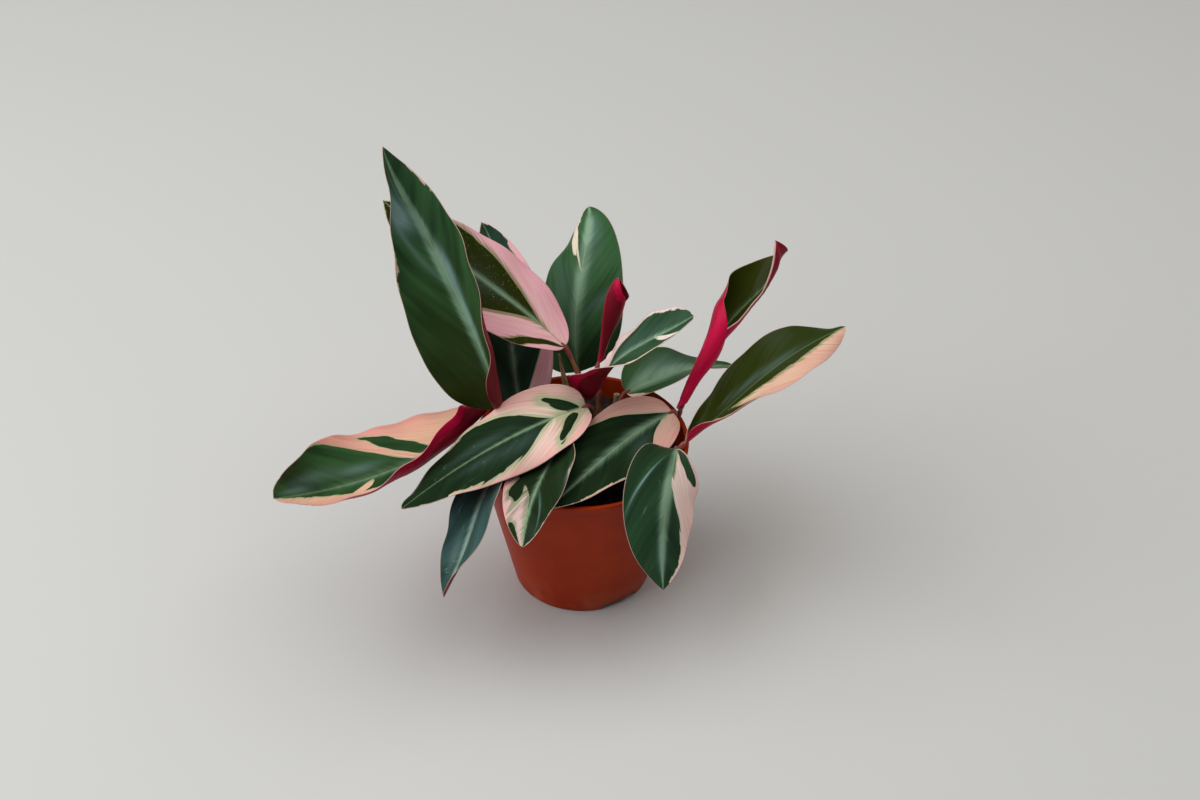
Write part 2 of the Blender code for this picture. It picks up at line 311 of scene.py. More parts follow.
def dress(nodes, shader, look, colour, mottle, height):
    # roughness runs from the look's smooth to its dull value with the mottle; height makes the bump
    nodes.feed(shader.inputs["Base Color"], colour)
    nodes.feed(shader.inputs["Roughness"], nodes.ramp(mottle, 0.3, 0.7, *look["roughness"]))
    strength, distance = look["bump"]
    relief = nodes.node("Bump", dict(Height=height, Strength=strength, Distance=distance), "Normal")
    nodes.feed(shader.inputs["Normal"], relief)
    if "specular" in look:
        shader.inputs["Specular IOR Level"].default_value = look["specular"]


# Scales and shifts are (along the midrib, along a side vein), per centimetre of each.
leafPattern = dict(
    broad=((0.62, 0.34, 1.0), (2.0, 6.0, 0.0)), tooth=((1.5, 0.32, 1.0), (0.0, 0.0, 0.0)),
    streak=((3.2, 0.45, 1.0), (31.0, 9.0, 0.0)), fine=((10.0, 0.9, 1.0), (7.0, 3.0, 0.0)),
    lines=6.2, linesWander=1.2, lineSharpness=3.0, sectors=1.45, sectorsWander=1.6, leftShift=7.5,
    fineTeeth=0.20, edge=0.16, sageFade=0.75, halfTone=(0.30, 0.62, 0.35, 1.3),
    bandFine=0.14, bandStreak=0.50)


def leafPatternGroup():
    # Vein is (along the midrib, along a side vein) in centimetres. Green is where reach, in mm inside
    # the green, plus teeth along the veins and one random step for each sector between two veins is
    # above 0. Sage is 1 at the green's edge and falls to 0 over the half tone's width outside it.
    # Lines are a sine along the midrib, made narrow by a power. Pale is the band with rough edges.
    look = leafPattern
    inputs = {"Vein": None, "Reach": 1.0, "Half Tone": 0.5, "Pale": 0.0, "Teeth": 2.3, "Steps": 1.6}
    tree, nodes, given, made = newGroup(
        "leafPattern", inputs, ["Green", "Sage", "Pale", "Broad", "Fine", "Lines"])
    broad, tooth, fine, streak = (
        nodes.noise(nodes.stretch(given["Vein"], *look[key]), detail=detail)
        for key, detail in (("broad", 2.0), ("tooth", 1.0), ("fine", 3.0), ("streak", 2.0)))
    alongMidrib, alongVein = nodes.split(given["Vein"], "X"), nodes.split(given["Vein"], "Y")
    turns = nodes.timesPlus(broad, look["linesWander"], nodes.times(alongMidrib, look["lines"]))
    wave = nodes.calc("SINE", nodes.times(turns, fullTurn))
    lines = nodes.calc("POWER", nodes.timesPlus(wave, 0.5, 0.5), look["lineSharpness"])
    teeth = nodes.timesPlus(nodes.offMiddle(fine), look["fineTeeth"], nodes.offMiddle(tooth))
    edge = nodes.timesPlus(teeth, given["Teeth"], given["Reach"])
    number = nodes.calc("FLOOR", nodes.timesPlus(alongMidrib, look["sectors"],
                                                 nodes.times(broad, look["sectorsWander"])))
    side = nodes.times(nodes.calc("SIGN", alongVein), look["leftShift"])
    sector = nodes.node("CombineXYZ", dict(X=number, Y=side))
    chance = nodes.node("TexWhiteNoise", dict(Vector=sector), "Value", noise_dimensions="2D")
    edge = nodes.timesPlus(nodes.offMiddle(chance), given["Steps"], edge)
    halfTone = nodes.times(nodes.ramp(streak, *look["halfTone"]), given["Half Tone"])
    outside = nodes.calc("DIVIDE", edge, nodes.calc("MAXIMUM", halfTone, 0.05))
    pale = nodes.timesPlus(nodes.offMiddle(fine), look["bandFine"], given["Pale"])
    pale = nodes.timesPlus(nodes.offMiddle(streak), look["bandStreak"], pale)
    nodes.feed(made["Green"], nodes.ramp(edge, -look["edge"], look["edge"]))
    nodes.feed(made["Sage"], nodes.ramp(nodes.calc("ADD", outside, 1.0), 0.0, look["sageFade"]))
    nodes.feed(made["Pale"], nodes.ramp(pale, 0.02, 1.0))
    for label, value in (("Broad", broad), ("Fine", fine), ("Lines", lines)):
        nodes.feed(made[label], value)
    return tree


def grainGroup():
    # three sizes of mottling on the object's own coordinates, and a fine height for bumps
    inputs = dict(Place=None, Scale=40.0)
    tree, nodes, given, made = newGroup("grain", inputs, ["Patches", "Specks", "Height"])
    patches = nodes.noise(given["Place"], given["Scale"], 3.0, 0.55)
    middle = nodes.noise(given["Place"], nodes.times(given["Scale"], 5.0), 3.0, 0.6)
    specks = nodes.noise(given["Place"], nodes.times(given["Scale"], 24.0))
    nodes.feed(made["Patches"], nodes.timesPlus(middle, 0.3, nodes.times(patches, 0.7)))
    nodes.feed(made["Specks"], specks)
    nodes.feed(made["Height"], nodes.timesPlus(middle, 0.5, nodes.times(specks, 0.5)))
    return tree


def grainMaterial(name, look, grain):
    material, nodes, shader = newMaterial(name)
    marks = nodes.useGroup(grain, dict(Place=nodes.place(), Scale=look["grain"]))
    return material, nodes, shader, marks


upperFinish = dict(
    deepGreen=(0.0055, 0.0135, 0.0045), midGreen=(0.034, 0.098, 0.028), olive=(0.024, 0.030, 0.0008),
    # the blue tint below is partly the leaf's own and partly a painted bluish sheen
    blueTintAndSheen=(0.030, 0.078, 0.074), pale=(0.21, 0.34, 0.22), silver=(0.34, 0.46, 0.44),
    # the painted sheen's colour: a bluish-white highlight painted into the green
    paintedSheen=(0.19, 0.30, 0.28),
    sage=(0.44, 0.47, 0.27), oliveSage=(0.20, 0.18, 0.05), fleck=(0.50, 0.44, 0.14),
    midrib=(0.24, 0.34, 0.16), margin=(0.66, 0.40, 0.34), pinkDepth=(0.95, 0.66, 0.66),
    lightGain=(0.15, 0.75, 0.5),  # mottled anyway, mottled where light, and even where light
    blueTintAndSheenGain=(0.5, 0.8), lines=(0.036, -0.03),  # even and mottled; everywhere and on olive
    # after the band's mottle comes the ramp that streaks the painted sheen along the veins
    bandMottle=(0.34, 0.62, 0.50, 0.95), paintedSatinSheen=(0.25, 0.75, 0.72, 1.05), sageShare=0.85,
    scratch=((1.1, 0.9, 1.0), (12.0, 4.0, 0.0)), scratchPlace=((0.9, 1.1, 1.0), (5.0, 21.0, 0.0)),
    flecks=((17.0, 11.0, 1.0), (3.0, 8.0, 0.0)), pinkLines=0.30,
    marginLine=(0.05, 0.42, 0.75, 0.0), midribLine=(0.1, 0.75, 0.65, 0.0),  # mm, mm, share, share
    roughness=(0.28, 0.36), specular=0.07, bump=(0.12, 0.00012))

undersideFinish = dict(
    maroon=(0.19, 0.009, 0.018), crimson=(0.54, 0.003, 0.050), rib=(0.36, 0.02, 0.04),
    paleMargin=(0.80, 0.62, 0.52), depth=(0.76, 0.62, 0.66), lines=0.10,
    marginLine=(0.05, 0.5, 0.7, 0.0), ribLine=(0.4, 1.3, 0.6, 0.0), paleLine=(-0.4, 0.0, 0.9, 0.0),
    roughness=(0.36, 0.5), specular=0.12, bump=(0.25, 0.00012))


def leafMasks(nodes, pattern):
    reads = {"Reach": "greenReach", "Half Tone": "halfTone", "Pale": "paleBand", "Teeth": "toothSize",
             "Steps": "stepSize"}
    values = {label: nodes.readFloat(name) for label, name in reads.items()}
    return nodes.useGroup(pattern, {"Vein": nodes.readUv("veins"), **values})


def scratches(nodes, vein):  # thin curls where one noise passes its middle, kept where another is high
    look = upperFinish
    curl = nodes.noise(nodes.stretch(vein, *look["scratch"]), detail=0.0)
    offCurl = nodes.calc("ABSOLUTE", nodes.offMiddle(curl))
    there = nodes.noise(nodes.stretch(vein, *look["scratchPlace"]), detail=1.0)
    drawn = nodes.times(nodes.ramp(offCurl, 0.001, 0.006, 0.55, 0.0), nodes.ramp(there, 0.56, 0.64))
    return nodes.times(drawn, nodes.readFloat("scratchShare"))


def upperMaterial(pattern):
    # The green runs from deep to mid with the mottle, lighter where it is to look lit, then takes olive, a
    # blue tint that is partly painted sheen, lines, the pale band, the painted sheen, scratches and flecks.
    # Outside it lie streaks of sage and the pink, and the margin and the midrib come last.
    material, nodes, shader = newMaterial("leafUpper")
    look, masks, vein = upperFinish, leafMasks(nodes, pattern), nodes.readUv("veins")
    olive, blueTintAndSheen, light = (nodes.readFloat(name) for name in ("oliveShare", "blueTintAndSheenShare", "lighterAndLitShare"))
    mottle = nodes.ramp(masks["Broad"], 0.30, 0.72)
    # a lighter green, partly painted light and shade, set leaf by leaf for how lit each leaf is to look
    base, gain, lift = look["lightGain"]
    shade = nodes.timesPlus(mottle, nodes.timesPlus(light, gain, base), nodes.times(light, lift))
    green = nodes.mix(nodes.capped(shade), look["deepGreen"], look["midGreen"])
    green = nodes.mix(olive, green, look["olive"])
    # the blue tint, partly a painted bluish sheen, mottled
    base, gain = look["blueTintAndSheenGain"]
    blueTintAndSheenMix = nodes.times(blueTintAndSheen, nodes.timesPlus(mottle, gain, base))
    green = nodes.mix(nodes.capped(blueTintAndSheenMix), green, look["blueTintAndSheen"])
    plain, onOlive = look["lines"]
    lineShare = nodes.times(masks["Lines"], nodes.timesPlus(olive, onOlive, plain))
    green = nodes.mix(lineShare, green, look["pale"])
    bandShare = nodes.times(masks["Pale"], nodes.ramp(masks["Broad"], *look["bandMottle"]))
    green = nodes.mix(bandShare, green, nodes.mix(blueTintAndSheen, look["pale"], look["silver"]))
    # painted sheen: its ovals, streaked along the veins, lighten the green as a highlight would
    paintedSatinSheen = nodes.times(nodes.readFloat("paintedSheenShare"), nodes.ramp(masks["Fine"], *look["paintedSatinSheen"]))
    green = nodes.mix(nodes.capped(paintedSatinSheen), green, look["paintedSheen"])
    green = nodes.mix(scratches(nodes, vein), green, look["silver"])
    dots = nodes.noise(nodes.stretch(vein, *look["flecks"]), detail=1.0)
    fleckShare = nodes.times(nodes.ramp(dots, 0.70, 0.76), nodes.readFloat("fleckShare"))
    green = nodes.mix(fleckShare, green, look["fleck"])
    pink = nodes.readColour("pinkTone")
    pinkDeep = nodes.mix(1.0, pink, look["pinkDepth"], "MULTIPLY")
    pink = nodes.mix(nodes.ramp(masks["Fine"], 0.36, 0.72), pink, pinkDeep)
    pink = nodes.mix(nodes.times(masks["Lines"], look["pinkLines"]), pink, pinkDeep)
    streak = nodes.times(nodes.ramp(masks["Fine"], 0.35, 0.65, 0.25, 1.0), nodes.readFloat("streakShare"))
    sage = nodes.mix(streak, nodes.mix(olive, look["sage"], look["oliveSage"]), green)
    colour = nodes.mix(nodes.times(masks["Sage"], look["sageShare"]), pink, sage)
    colour = nodes.mix(masks["Green"], colour, green)
    colour = nodes.mix(nodes.ramp(nodes.readFloat("marginGap"), *look["marginLine"]), colour, look["margin"])
    onMidrib = nodes.times(nodes.ramp(nodes.readFloat("midribGap"), *look["midribLine"]),
                           nodes.timesPlus(masks["Pale"], 0.7, 0.3))
    colour = nodes.mix(onMidrib, colour, look["midrib"])
    height = nodes.timesPlus(masks["Lines"], -0.8, nodes.times(masks["Fine"], 0.6))
    dress(nodes, shader, look, colour, masks["Broad"], height)
    return material


def undersideMaterial(pattern):
    # maroon under the green and crimson elsewhere, at the margin and, softer, at the rib
    material, nodes, shader = newMaterial("leafUnderside")
    look, masks = undersideFinish, leafMasks(nodes, pattern)
    dark = nodes.times(masks["Green"], nodes.calc("SUBTRACT", 1.0, nodes.readFloat("crimsonShare")))
    colour = nodes.mix(dark, look["crimson"], look["maroon"])
    deeper = nodes.mix(1.0, colour, look["depth"], "MULTIPLY")
    colour = nodes.mix(nodes.ramp(masks["Broad"], 0.30, 0.72), colour, deeper)
    colour = nodes.mix(nodes.times(masks["Lines"], look["lines"]), colour, look["crimson"])
    gap = nodes.readFloat("marginGap")
    pastLine = nodes.calc("SUBTRACT", gap, nodes.readFloat("paleMargin"))
    for distance, line, tone in (
            (nodes.readFloat("midribGap"), "ribLine", "rib"), (gap, "marginLine", "crimson"),
            (pastLine, "paleLine", "paleMargin")):
        colour = nodes.mix(nodes.ramp(distance, *look[line]), colour, look[tone])
    height = nodes.timesPlus(masks["Lines"], 0.8, masks["Fine"])
    dress(nodes, shader, look, colour, masks["Broad"], height)
    return material


bladeBuild = dict(
    step=0.80, quickStep=1.7, acrossFiner=1.1,  # size of one grid cell, and how much finer it is across
    thickness=0.46, marginThickness=0.24, tipFraction=0.014,  # the last: least share of the width
    rollFade=0.35,  # where the blade is narrower than this share, its halves roll less
    lobeShare=0.16,  # how far along a lobe at the base reaches
    groove=0.32, grooveWidth=0.9, rib=0.75, ribWidth=1.0, ribTaper=0.55,  # midrib: above, underneath
    reliefWidth=3,  # where a half is narrower, groove, rib and pleats shrink
    pleat=0.06, pleatSpacing=8.5, pleatFade=2.5, pleatDrift=5, pleatCell=9.0, pleatAcross=3,
    wave=0.7, waveLength=31.0, waveFull=1.6,  # lift of the margins
    patchWobble=0.55, patchCell=7.0,  # how far a patch strays from an oval
    toneOut=1.1, toneDrift=0.7, toneCell=14.0,  # the pink's run from its inner to its outer colour
    veinLean=1.25, veinCurve=0.9,  # side veins run forward as they go out
    noiseShift=50, veinShift=40)  # keep one leaf's noise apart from another's

bladeSeeds = dict(pleat=0, tone=60, wave=100, patch=300)

# the unpigmented parts: colour next to the green, and colour at the margin
pinkTones = dict(
    rose=((0.90, 0.60, 0.59), (0.88, 0.49, 0.55)), blush=((0.82, 0.68, 0.56), (0.78, 0.48, 0.42)),
    clay=((0.66, 0.46, 0.36), (0.62, 0.37, 0.30)), sand=((0.66, 0.47, 0.33), (0.60, 0.36, 0.27)),
    # bright is lighter than the leaf's own pink: painted light for hanging_right's pink half, which faces
    # away from the lamps
    bright=((0.92, 0.80, 0.70), (0.90, 0.66, 0.60)), ash=((0.62, 0.50, 0.46), (0.66, 0.42, 0.40)),
    ivory=((0.80, 0.75, 0.58), (0.80, 0.72, 0.60)), cream=((0.82, 0.66, 0.52), (0.78, 0.52, 0.42)),
    peach=((0.80, 0.53, 0.36), (0.74, 0.36, 0.29)), white=((0.80, 0.74, 0.66), (0.78, 0.64, 0.60)),
    wine=((0.55, 0.03, 0.09), (0.62, 0.06, 0.13)))

# What a leaf has unless it says otherwise; the second lot is kept at every point of its mesh. Three
# values hold at the base, the middle and the tip, and one holds all along.
leafUsual = dict(
    halves=(1, 1), lobes=(0, 0), greenLeft=1.3, greenRight=1.3, patches=[], paintedSheen=[], pinkTone="cream",
    pale=0.3, paleWidth=0.1, paleSide=1)
leafShares = dict(
    oliveShare=0, blueTintAndSheenShare=0, lighterAndLitShare=0.2, halfTone=(1.5, 1.2, 0.6), streakShare=0.3, toothSize=1.8,
    stepSize=1.6, fleckShare=0, scratchShare=0, crimsonShare=0, paleMargin=0)

# Each blade follows its midrib from base, in millimetres; its stalk stands at foot on the soil.
# heading turns from +X towards +Y, rise is above level and roll turns the blade about its midrib.
# fold lifts both halves from the midrib, and curl bends each over its width, at even stations from
# base to tip (degrees); past 90 it rolls over and shows its underside. outline is the powers of
# the base's and the tip's end, halves widens the left and the right half, and lobes draws them back
# at the base.
# greenLeft and greenRight say how far from the midrib the green reaches, as a share of the half blade,
# at even stations from base to tip; past 1 it covers the margin. patches are (green or pink, share
# along, share across with left positive, half length, half width, slant), and the painted sheen ovals,
# a painted highlight whose thinnest ovals draw pale lines, are (share along, share across, half length,
# half width, slant, strength).
# pale and paleWidth give the band along the midrib its strength and width. The olive share turns the green
# to olive; the blue-tint share turns it blue, partly the leaf's tint and partly a painted bluish sheen; and
# the lighter share makes it lighter, partly painted light and shade, set leaf by leaf for how lit each is to
# look.
# halfTone is the sage zone's width outside the green in mm, streakShare its green streaks, toothSize and
# stepSize the green edge's teeth and its steps from vein to vein in mm. fleckShare and scratchShare add dots
# and fine curls. Underneath, crimsonShare brightens the maroon, and paleMargin is a pale line's width in mm
# on paleSide (1 left, -1 right).
leaves = {
    "tall_left": dict(
        base=(-45, 4, 112), heading=(155, 132, 183), rise=(85, 49, 82), roll=(-92, -44, -29),
        fold=16, curlLeft=(15, 22, 41), curlRight=(112, 68, 54, 40, -34),
        length=162, width=62, outline=(0.35, 0.8), halves=(1.02, 0.93), lobes=(0, -0.6), foot=(-22, 4),
        greenLeft=(1.3, 1.3, 1.3, 1.2, 1.3, 1.3), greenRight=(1.3, 1.3, 1.2, 1.06, 1.15, 1.3),
        patches=[("pink", 0.62, 1.0, 0.06, 0.07, 0.2), ("pink", 0.86, -1.0, 0.05, 0.08, 0.3)],
        pale=(0.3, 1.3, 1.0), paleWidth=(0.06, 0.11, 0.14), oliveShare=(1.0, 0.2, 0),
        blueTintAndSheenShare=(0, 0.05, 0.15), lighterAndLitShare=(0.25, 0.7, 0.6),
        paintedSheen=[(0.785, 0.62, 0.055, 0.42, 0.1, 1.7), (0.64, 0.45, 0.03, 0.4, 0.4, 0.35),
               (0.88, 0.35, 0.03, 0.3, 0.5, 0.4), (0.72, -0.03, 0.07, 0.06, 0.2, 0.6),
               (0.53, -0.12, 0.08, 0.09, 0.2, 0.9), (0.36, -0.07, 0.09, 0.06, 0.2, 0.8)]),
    "back_left": dict(
        base=(-9, 32, 135), heading=(155, 164, 140), rise=(38, 34, 25), roll=(-5, -25, -20),
        fold=4, curlLeft=(10, -21, 0), curlRight=(-1, -14, -9),
        length=130, width=50, outline=(0.54, 0.85), foot=(0, 24),
        greenLeft=(-0.3, 0.12, 0.62, 0.9, 1.0, 1.0), greenRight=(-0.3, 0.16, 0.52, 0.8, 0.93, 0.95),
        patches=[("green", 0.13, 0.7, 0.045, 0.42, 0.3)],
        pinkTone="rose", pale=(0.8, 0.9, 0.7), paleWidth=(0.07, 0.08, 0.1), oliveShare=(0.9, 0.8, 0.3),
        lighterAndLitShare=0, halfTone=(2.5, 3.6, 2.0), streakShare=0, fleckShare=1,
        paintedSheen=[(0.45, 0.1, 0.1, 0.3, 0.2, 0.12)]),
    "rear_left": dict(
        base=(-34, 25, 94), heading=(116, 100, 130), rise=(62, 45, 39), roll=(-1, 1, -4),
        fold=10, curlLeft=(60, 10, -1), curlRight=(1, -1, 2),
        length=113, width=47, outline=(0.42, 0.79), foot=(-26, 22),
        greenLeft=(1.3, 1.3, 1.3, 1.3, 1.3, 1.2), greenRight=(0.1, 0.5, 0.8, 0.85, 0.8, 1.0),
        pinkTone="rose", pale=(0.6, 0.5, 0.4), paleWidth=(0.12, 0.1, 0.1), blueTintAndSheenShare=(0.2, 0.2, 0.4)),
    "back_centre": dict(
        base=(-2, 54, 101), heading=(120, 74, 97), rise=(71, 59, 17), roll=(-14, -12, -17),
        fold=-11, curlLeft=(0, -10, -50), curlRight=(19, -12, -13),
        length=100, width=54, outline=(0.39, 0.64), foot=(0, 45),
        greenLeft=(1.3, 1.3, 1.3, 1.3, 1.2, 1.2),
        patches=[("pink", 0.84, 0.66, 0.055, 0.42, 0.35), ("pink", 0.71, 0.24, 0.02, 0.26, 0.5)],
        pinkTone="ivory", pale=(0.3, 0.8, 0.9), paleWidth=(0.12, 0.17, 0.26), blueTintAndSheenShare=(0.05, 0.1, 0.1),
        lighterAndLitShare=(0.5, 1.1, 1.3), toothSize=(2.5, 2.5, 4.0),
        paintedSheen=[(0.82, -0.25, 0.12, 0.3, 0.2, 0.25), (0.5, 0.45, 0.12, 0.4, 0.2, 0.15),
               (0.45, -0.5, 0.05, 0.4, 0.3, 0.2)]),
    "furled": dict(
        base=(9, 41, 115), heading=(69, 53, -12), rise=(50, 83, 49), roll=(127, 157, 148),
        fold=22, curlLeft=(151, 122, 100), curlRight=(110, 109, 99),
        length=57, width=28, outline=(1.0, 0.45), halves=(0.95, 1.12), foot=(10, 36),
        greenLeft=(0.9, 0.9, 0.9, 0.8, 0.6, 0), greenRight=(0.9, 0.9, 0.9, 0.8, 0.6, 0),
        pinkTone="wine", halfTone=0.3, crimsonShare=(0, 0.05, 0.2)),
    "small_right": dict(
        base=(10, 12, 119), heading=(8, -2, 9), rise=(81, 38, 36), roll=(-49, 4, 6),
        fold=14, curlLeft=(44, -10, -32, -21, 25), curlRight=(197, 35, 6, 31, 22),
        length=74, width=42, outline=(0.25, 0.49), halves=(1.02, 1.05), lobes=(-0.6, 1.05), foot=(11, 7),
        greenLeft=(0, 0.32, 0.62, 0.86, 0.8, 0.78), greenRight=(0.7, 0.7, 0.88, 0.88, 0.85, 0.85),
        patches=[("pink", 0.78, -0.42, 0.05, 0.45, 0.22)],
        pinkTone="white", pale=(0.5, 0.7, 0.4), paleWidth=(0.2, 0.12, 0.12), blueTintAndSheenShare=(0.1, 0.2, 0.2),
        lighterAndLitShare=(0.4, 0.5, 0.5),
        paintedSheen=[(0.5, 0.2, 0.25, 0.3, 0.2, 0.12)]),
    "low_right": dict(
        base=(25, 33, 102), heading=(25, 37, 13), rise=(20, -14, -7), roll=(17, -16, -5),
        fold=13, curlLeft=(2, 36, -33), curlRight=(19, 8, 0),
        length=77, width=42, outline=(0.47, 0.74), foot=(18, 24),
        greenLeft=(1.2, 1.3, 1.2, 1.1, 1.2, 1.2), greenRight=1.2,
        patches=[("pink", 0.05, -0.85, 0.06, 0.5, 0.1)],
        pale=(0.9, 1.0, 0.7), paleWidth=(0.4, 0.4, 0.25), oliveShare=(0.15, 0.3, 0.3),
        lighterAndLitShare=(1.3, 1.4, 1.2),
        paintedSheen=[(0.45, 0.45, 0.25, 0.4, 0.2, 0.3), (0.5, -0.4, 0.2, 0.3, 0.2, 0.2)]),
    "rolled_right": dict(
        base=(55.6, 17.6, 101.2), heading=(37, 58, -51), rise=(71, 8, 127), roll=(25, 19, -17),
        fold=0, curlLeft=(250, 262, 136, 73, -40), curlRight=(200, 230, 124, 86, 37),
        length=131, width=44, outline=(0.66, 0.8), halves=(1.12, 0.6), foot=(44, 20),
        greenLeft=(0, 0.1, 0.7, 1.3, 1.3, 0.9), greenRight=(0, 0.3, 0.6, 0.84, 0.84, 0.6),
        pale=(0.2, 0.3, 0.2), oliveShare=1.0, lighterAndLitShare=(0, 0, 0.1), crimsonShare=(0.3, 0.55, 0.1),
        paleMargin=(0, 0.9, 1.2), paleSide=-1),
    "far_right": dict(
        base=(56, -17, 105), heading=(19, 2, 25), rise=(34, 47, 9), roll=(-40, 11, -10),
        fold=-7, curlLeft=(161, 53, 27, 19, -48), curlRight=(115, 64, 56, 15, -52),
        length=112, width=43, outline=(0.76, 0.68), halves=(1.05, 0.95), foot=(47, -2),
        greenLeft=(0.8, 1.1, 1.3, 1.3, 1.3, 0.9), greenRight=(0, 0.1, 0.2, 0.27, 0.26, 0.04),
        patches=[("green", 0.36, -0.55, 0.05, 0.5, 0.28)],
        pinkTone="sand", pale=0, paleWidth=(0.1, 0.12, 0.1), oliveShare=(0.8, 0.8, 0.6),
        halfTone=(1.5, 3.0, 1.5), toothSize=1.2, stepSize=(0.6, 0.5, 0.5),
        paintedSheen=[(0.62, 0.1, 0.14, 0.1, 0.2, 0.22), (0.42, 0.2, 0.12, 0.1, 0.3, 0.2),
               (0.3, 0.35, 0.06, 0.06, 0.3, 0.15)]),
    "hanging_right": dict(
        base=(52, -24, 107.5), heading=(-92, -101, -78), rise=(42, -45, -68), roll=(-2, -33, 13),
        fold=-12, curlLeft=(-26, -22, -5), curlRight=(24, -17, 0),
        length=93, width=47, outline=(0.64, 0.83), foot=(38, -16),
        greenLeft=(0, 0.03, 0.1, 0.48, 0.75, 0.88), greenRight=(1.2, 1.3, 1.3, 1.2, 1.06, 1.2),
        patches=[("green", 0.175, 0.5, 0.085, 0.44, 0.2)],
        # the bright tone paints light onto the pink half, which faces away from the lamps
        pinkTone="bright", pale=(0.8, 1.1, 0.6), paleWidth=(0.08, 0.14, 0.08), blueTintAndSheenShare=(0, 0.1, 0.1),
        lighterAndLitShare=0.3, halfTone=(1.5, 0.8, 0.6), scratchShare=0.3,
        paintedSheen=[(0.82, 0, 0.1, 0.15, 0.1, 0.5), (0.4, -0.63, 0.012, 0.24, 0.55, 1.3)]),
    "over_soil": dict(
        base=(51, 13.4, 103.5), heading=(222, 230, 225), rise=(7, -4, -13), roll=(-20, -1, -5),
        fold=6, curlLeft=(15, -9, 1), curlRight=(29, 3, 0),
        length=102, width=46, outline=(0.52, 0.76), foot=(38, 1),
        greenLeft=(0, 0.32, 0.84, 0.9, 0.93, 1.0), greenRight=(0, 0.42, 0.85, 0.92, 0.97, 1.0),
        pinkTone="clay", pale=(0.75, 0.62, 0.35), paleWidth=(0.12, 0.16, 0.08), lighterAndLitShare=0,
        paintedSheen=[(0.35, 0.4, 0.1, 0.2, 0.3, 0.12)]),
    "front_left": dict(
        base=(3, 4, 115), heading=(216, 216, 222), rise=(8, -7, -14), roll=(-33, -9, 5),
        fold=0, curlLeft=(47, -31, -3), curlRight=(44, -17, -44),
        length=123, width=44, outline=(0.41, 0.71), foot=(2, 3),
        greenLeft=(0, 0.03, 0.58, 0.82, 0.92, 1.1), greenRight=(0, 0.03, 0.74, 0.92, 1.04, 1.2),
        patches=[("green", 0.13, 0.4, 0.05, 0.36, 0.22), ("green", 0.105, -0.3, 0.05, 0.3, 0.17)],
        pinkTone="blush", pale=(1.0, 0.5, 0.1), paleWidth=(0.05, 0.06, 0.05), lighterAndLitShare=(0.1, 0, 0),
        halfTone=(7.0, 3.2, 0.4), streakShare=(0.1, 0.1, 0.3), scratchShare=(0, 0.6, 0.4),
        paintedSheen=[(0.4, 0.3, 0.12, 0.2, 0.3, 0.14), (0.55, -0.25, 0.15, 0.15, 0.3, 0.14),
               (0.6, 0.25, 0.1, 0.12, 0.3, 0.12)]),
    "front_short": dict(
        base=(-8, -11, 106), heading=(244, 254, 265), rise=(-13, -3, -31), roll=(20, 9, 6),
        fold=8, curlLeft=(27, 11, 1), curlRight=(0, 7, 0),
        length=82, width=36, outline=(0.57, 0.73), foot=(-6, -4),
        greenLeft=(1.0, 1.0, 0.93, 1.05, 0.97, 0.9), greenRight=(1.0, 1.0, 0.85, 0.15, 0.02, 0),
        patches=[("green", 0.56, -0.55, 0.11, 0.22, 0.3), ("green", 0.92, -0.82, 0.075, 0.24, 0.1)],
        pinkTone="ash", pale=(0.2, 0.6, 0.6), paleWidth=(0.08, 0.1, 0.12), oliveShare=(0, 0.1, 0),
        lighterAndLitShare=0, halfTone=(3.0, 5.0, 1.0), streakShare=(1.0, 1.0, 0.4), toothSize=(1.5, 2.0, 1.6),
        stepSize=1.0,
        paintedSheen=[(0.72, 0.42, 0.014, 0.3, 0.55, 0.65), (0.42, 0.94, 0.1, 0.06, 0.1, 0.4)]),
    "hanging_left": dict(
        base=(-40, -26, 97), heading=(225, 250, 192), rise=(2, -34, -67), roll=(2, 32, -1),
        fold=18, curlLeft=(31, -10, 51), curlRight=(9, -15, 27),
        length=86, width=35, outline=(0.51, 0.71), foot=(-20, -14),
        greenRight=(1.3, 1.3, 1.2, 1.1, 1.1, 1.2),
        pale=(0.6, 0.9, 0.7), paleWidth=(0.1, 0.12, 0.14), blueTintAndSheenShare=(0.7, 0.8, 0.8),
        scratchShare=(0.6, 0.8, 1.0),
        paintedSheen=[(0.7, -0.35, 0.15, 0.2, 0.2, 0.3), (0.9, 0.3, 0.04, 0.3, 0.4, 0.5)]),
    "far_left": dict(
        base=(-52, 19.5, 103), heading=(242, 215, 227), rise=(-6, 2, 28), roll=(19, -18, -23),
        fold=18, curlLeft=(213, 114, 85, 58, 30), curlRight=(-16, -44, 52),
        length=147, width=56, outline=(0.49, 0.51), halves=(1.1, 1.12), foot=(-30, 12),
        greenLeft=(0.8, 0.8, 0.75, 0.42, 0.2, 0), greenRight=(0, 0, 0.05, 0.62, 0.97, 1.0),
        patches=[("green", 0.425, -0.44, 0.047, 0.44, 0.27), ("pink", 0.66, 0.3, 0.03, 0.2, 0.3)],
        pinkTone="peach", pale=(0.4, 0.5, 0.2), paleWidth=(0.1, 0.1, 0.06), lighterAndLitShare=(0.3, 0.6, 0.8),
        halfTone=(1.0, 1.2, 2.0), toothSize=(1.2, 1.2, 1.8), stepSize=(0.8, 0.8, 1.6),
        crimsonShare=(0.25, 0.2, 0.2), paleMargin=(0, 0.2, 1.6),
        paintedSheen=[(0.82, -0.35, 0.1, 0.14, 0.2, 0.35), (0.62, -0.22, 0.08, 0.09, 0.2, 0.45),
               (0.9, -0.15, 0.06, 0.1, 0.2, 0.5)])}


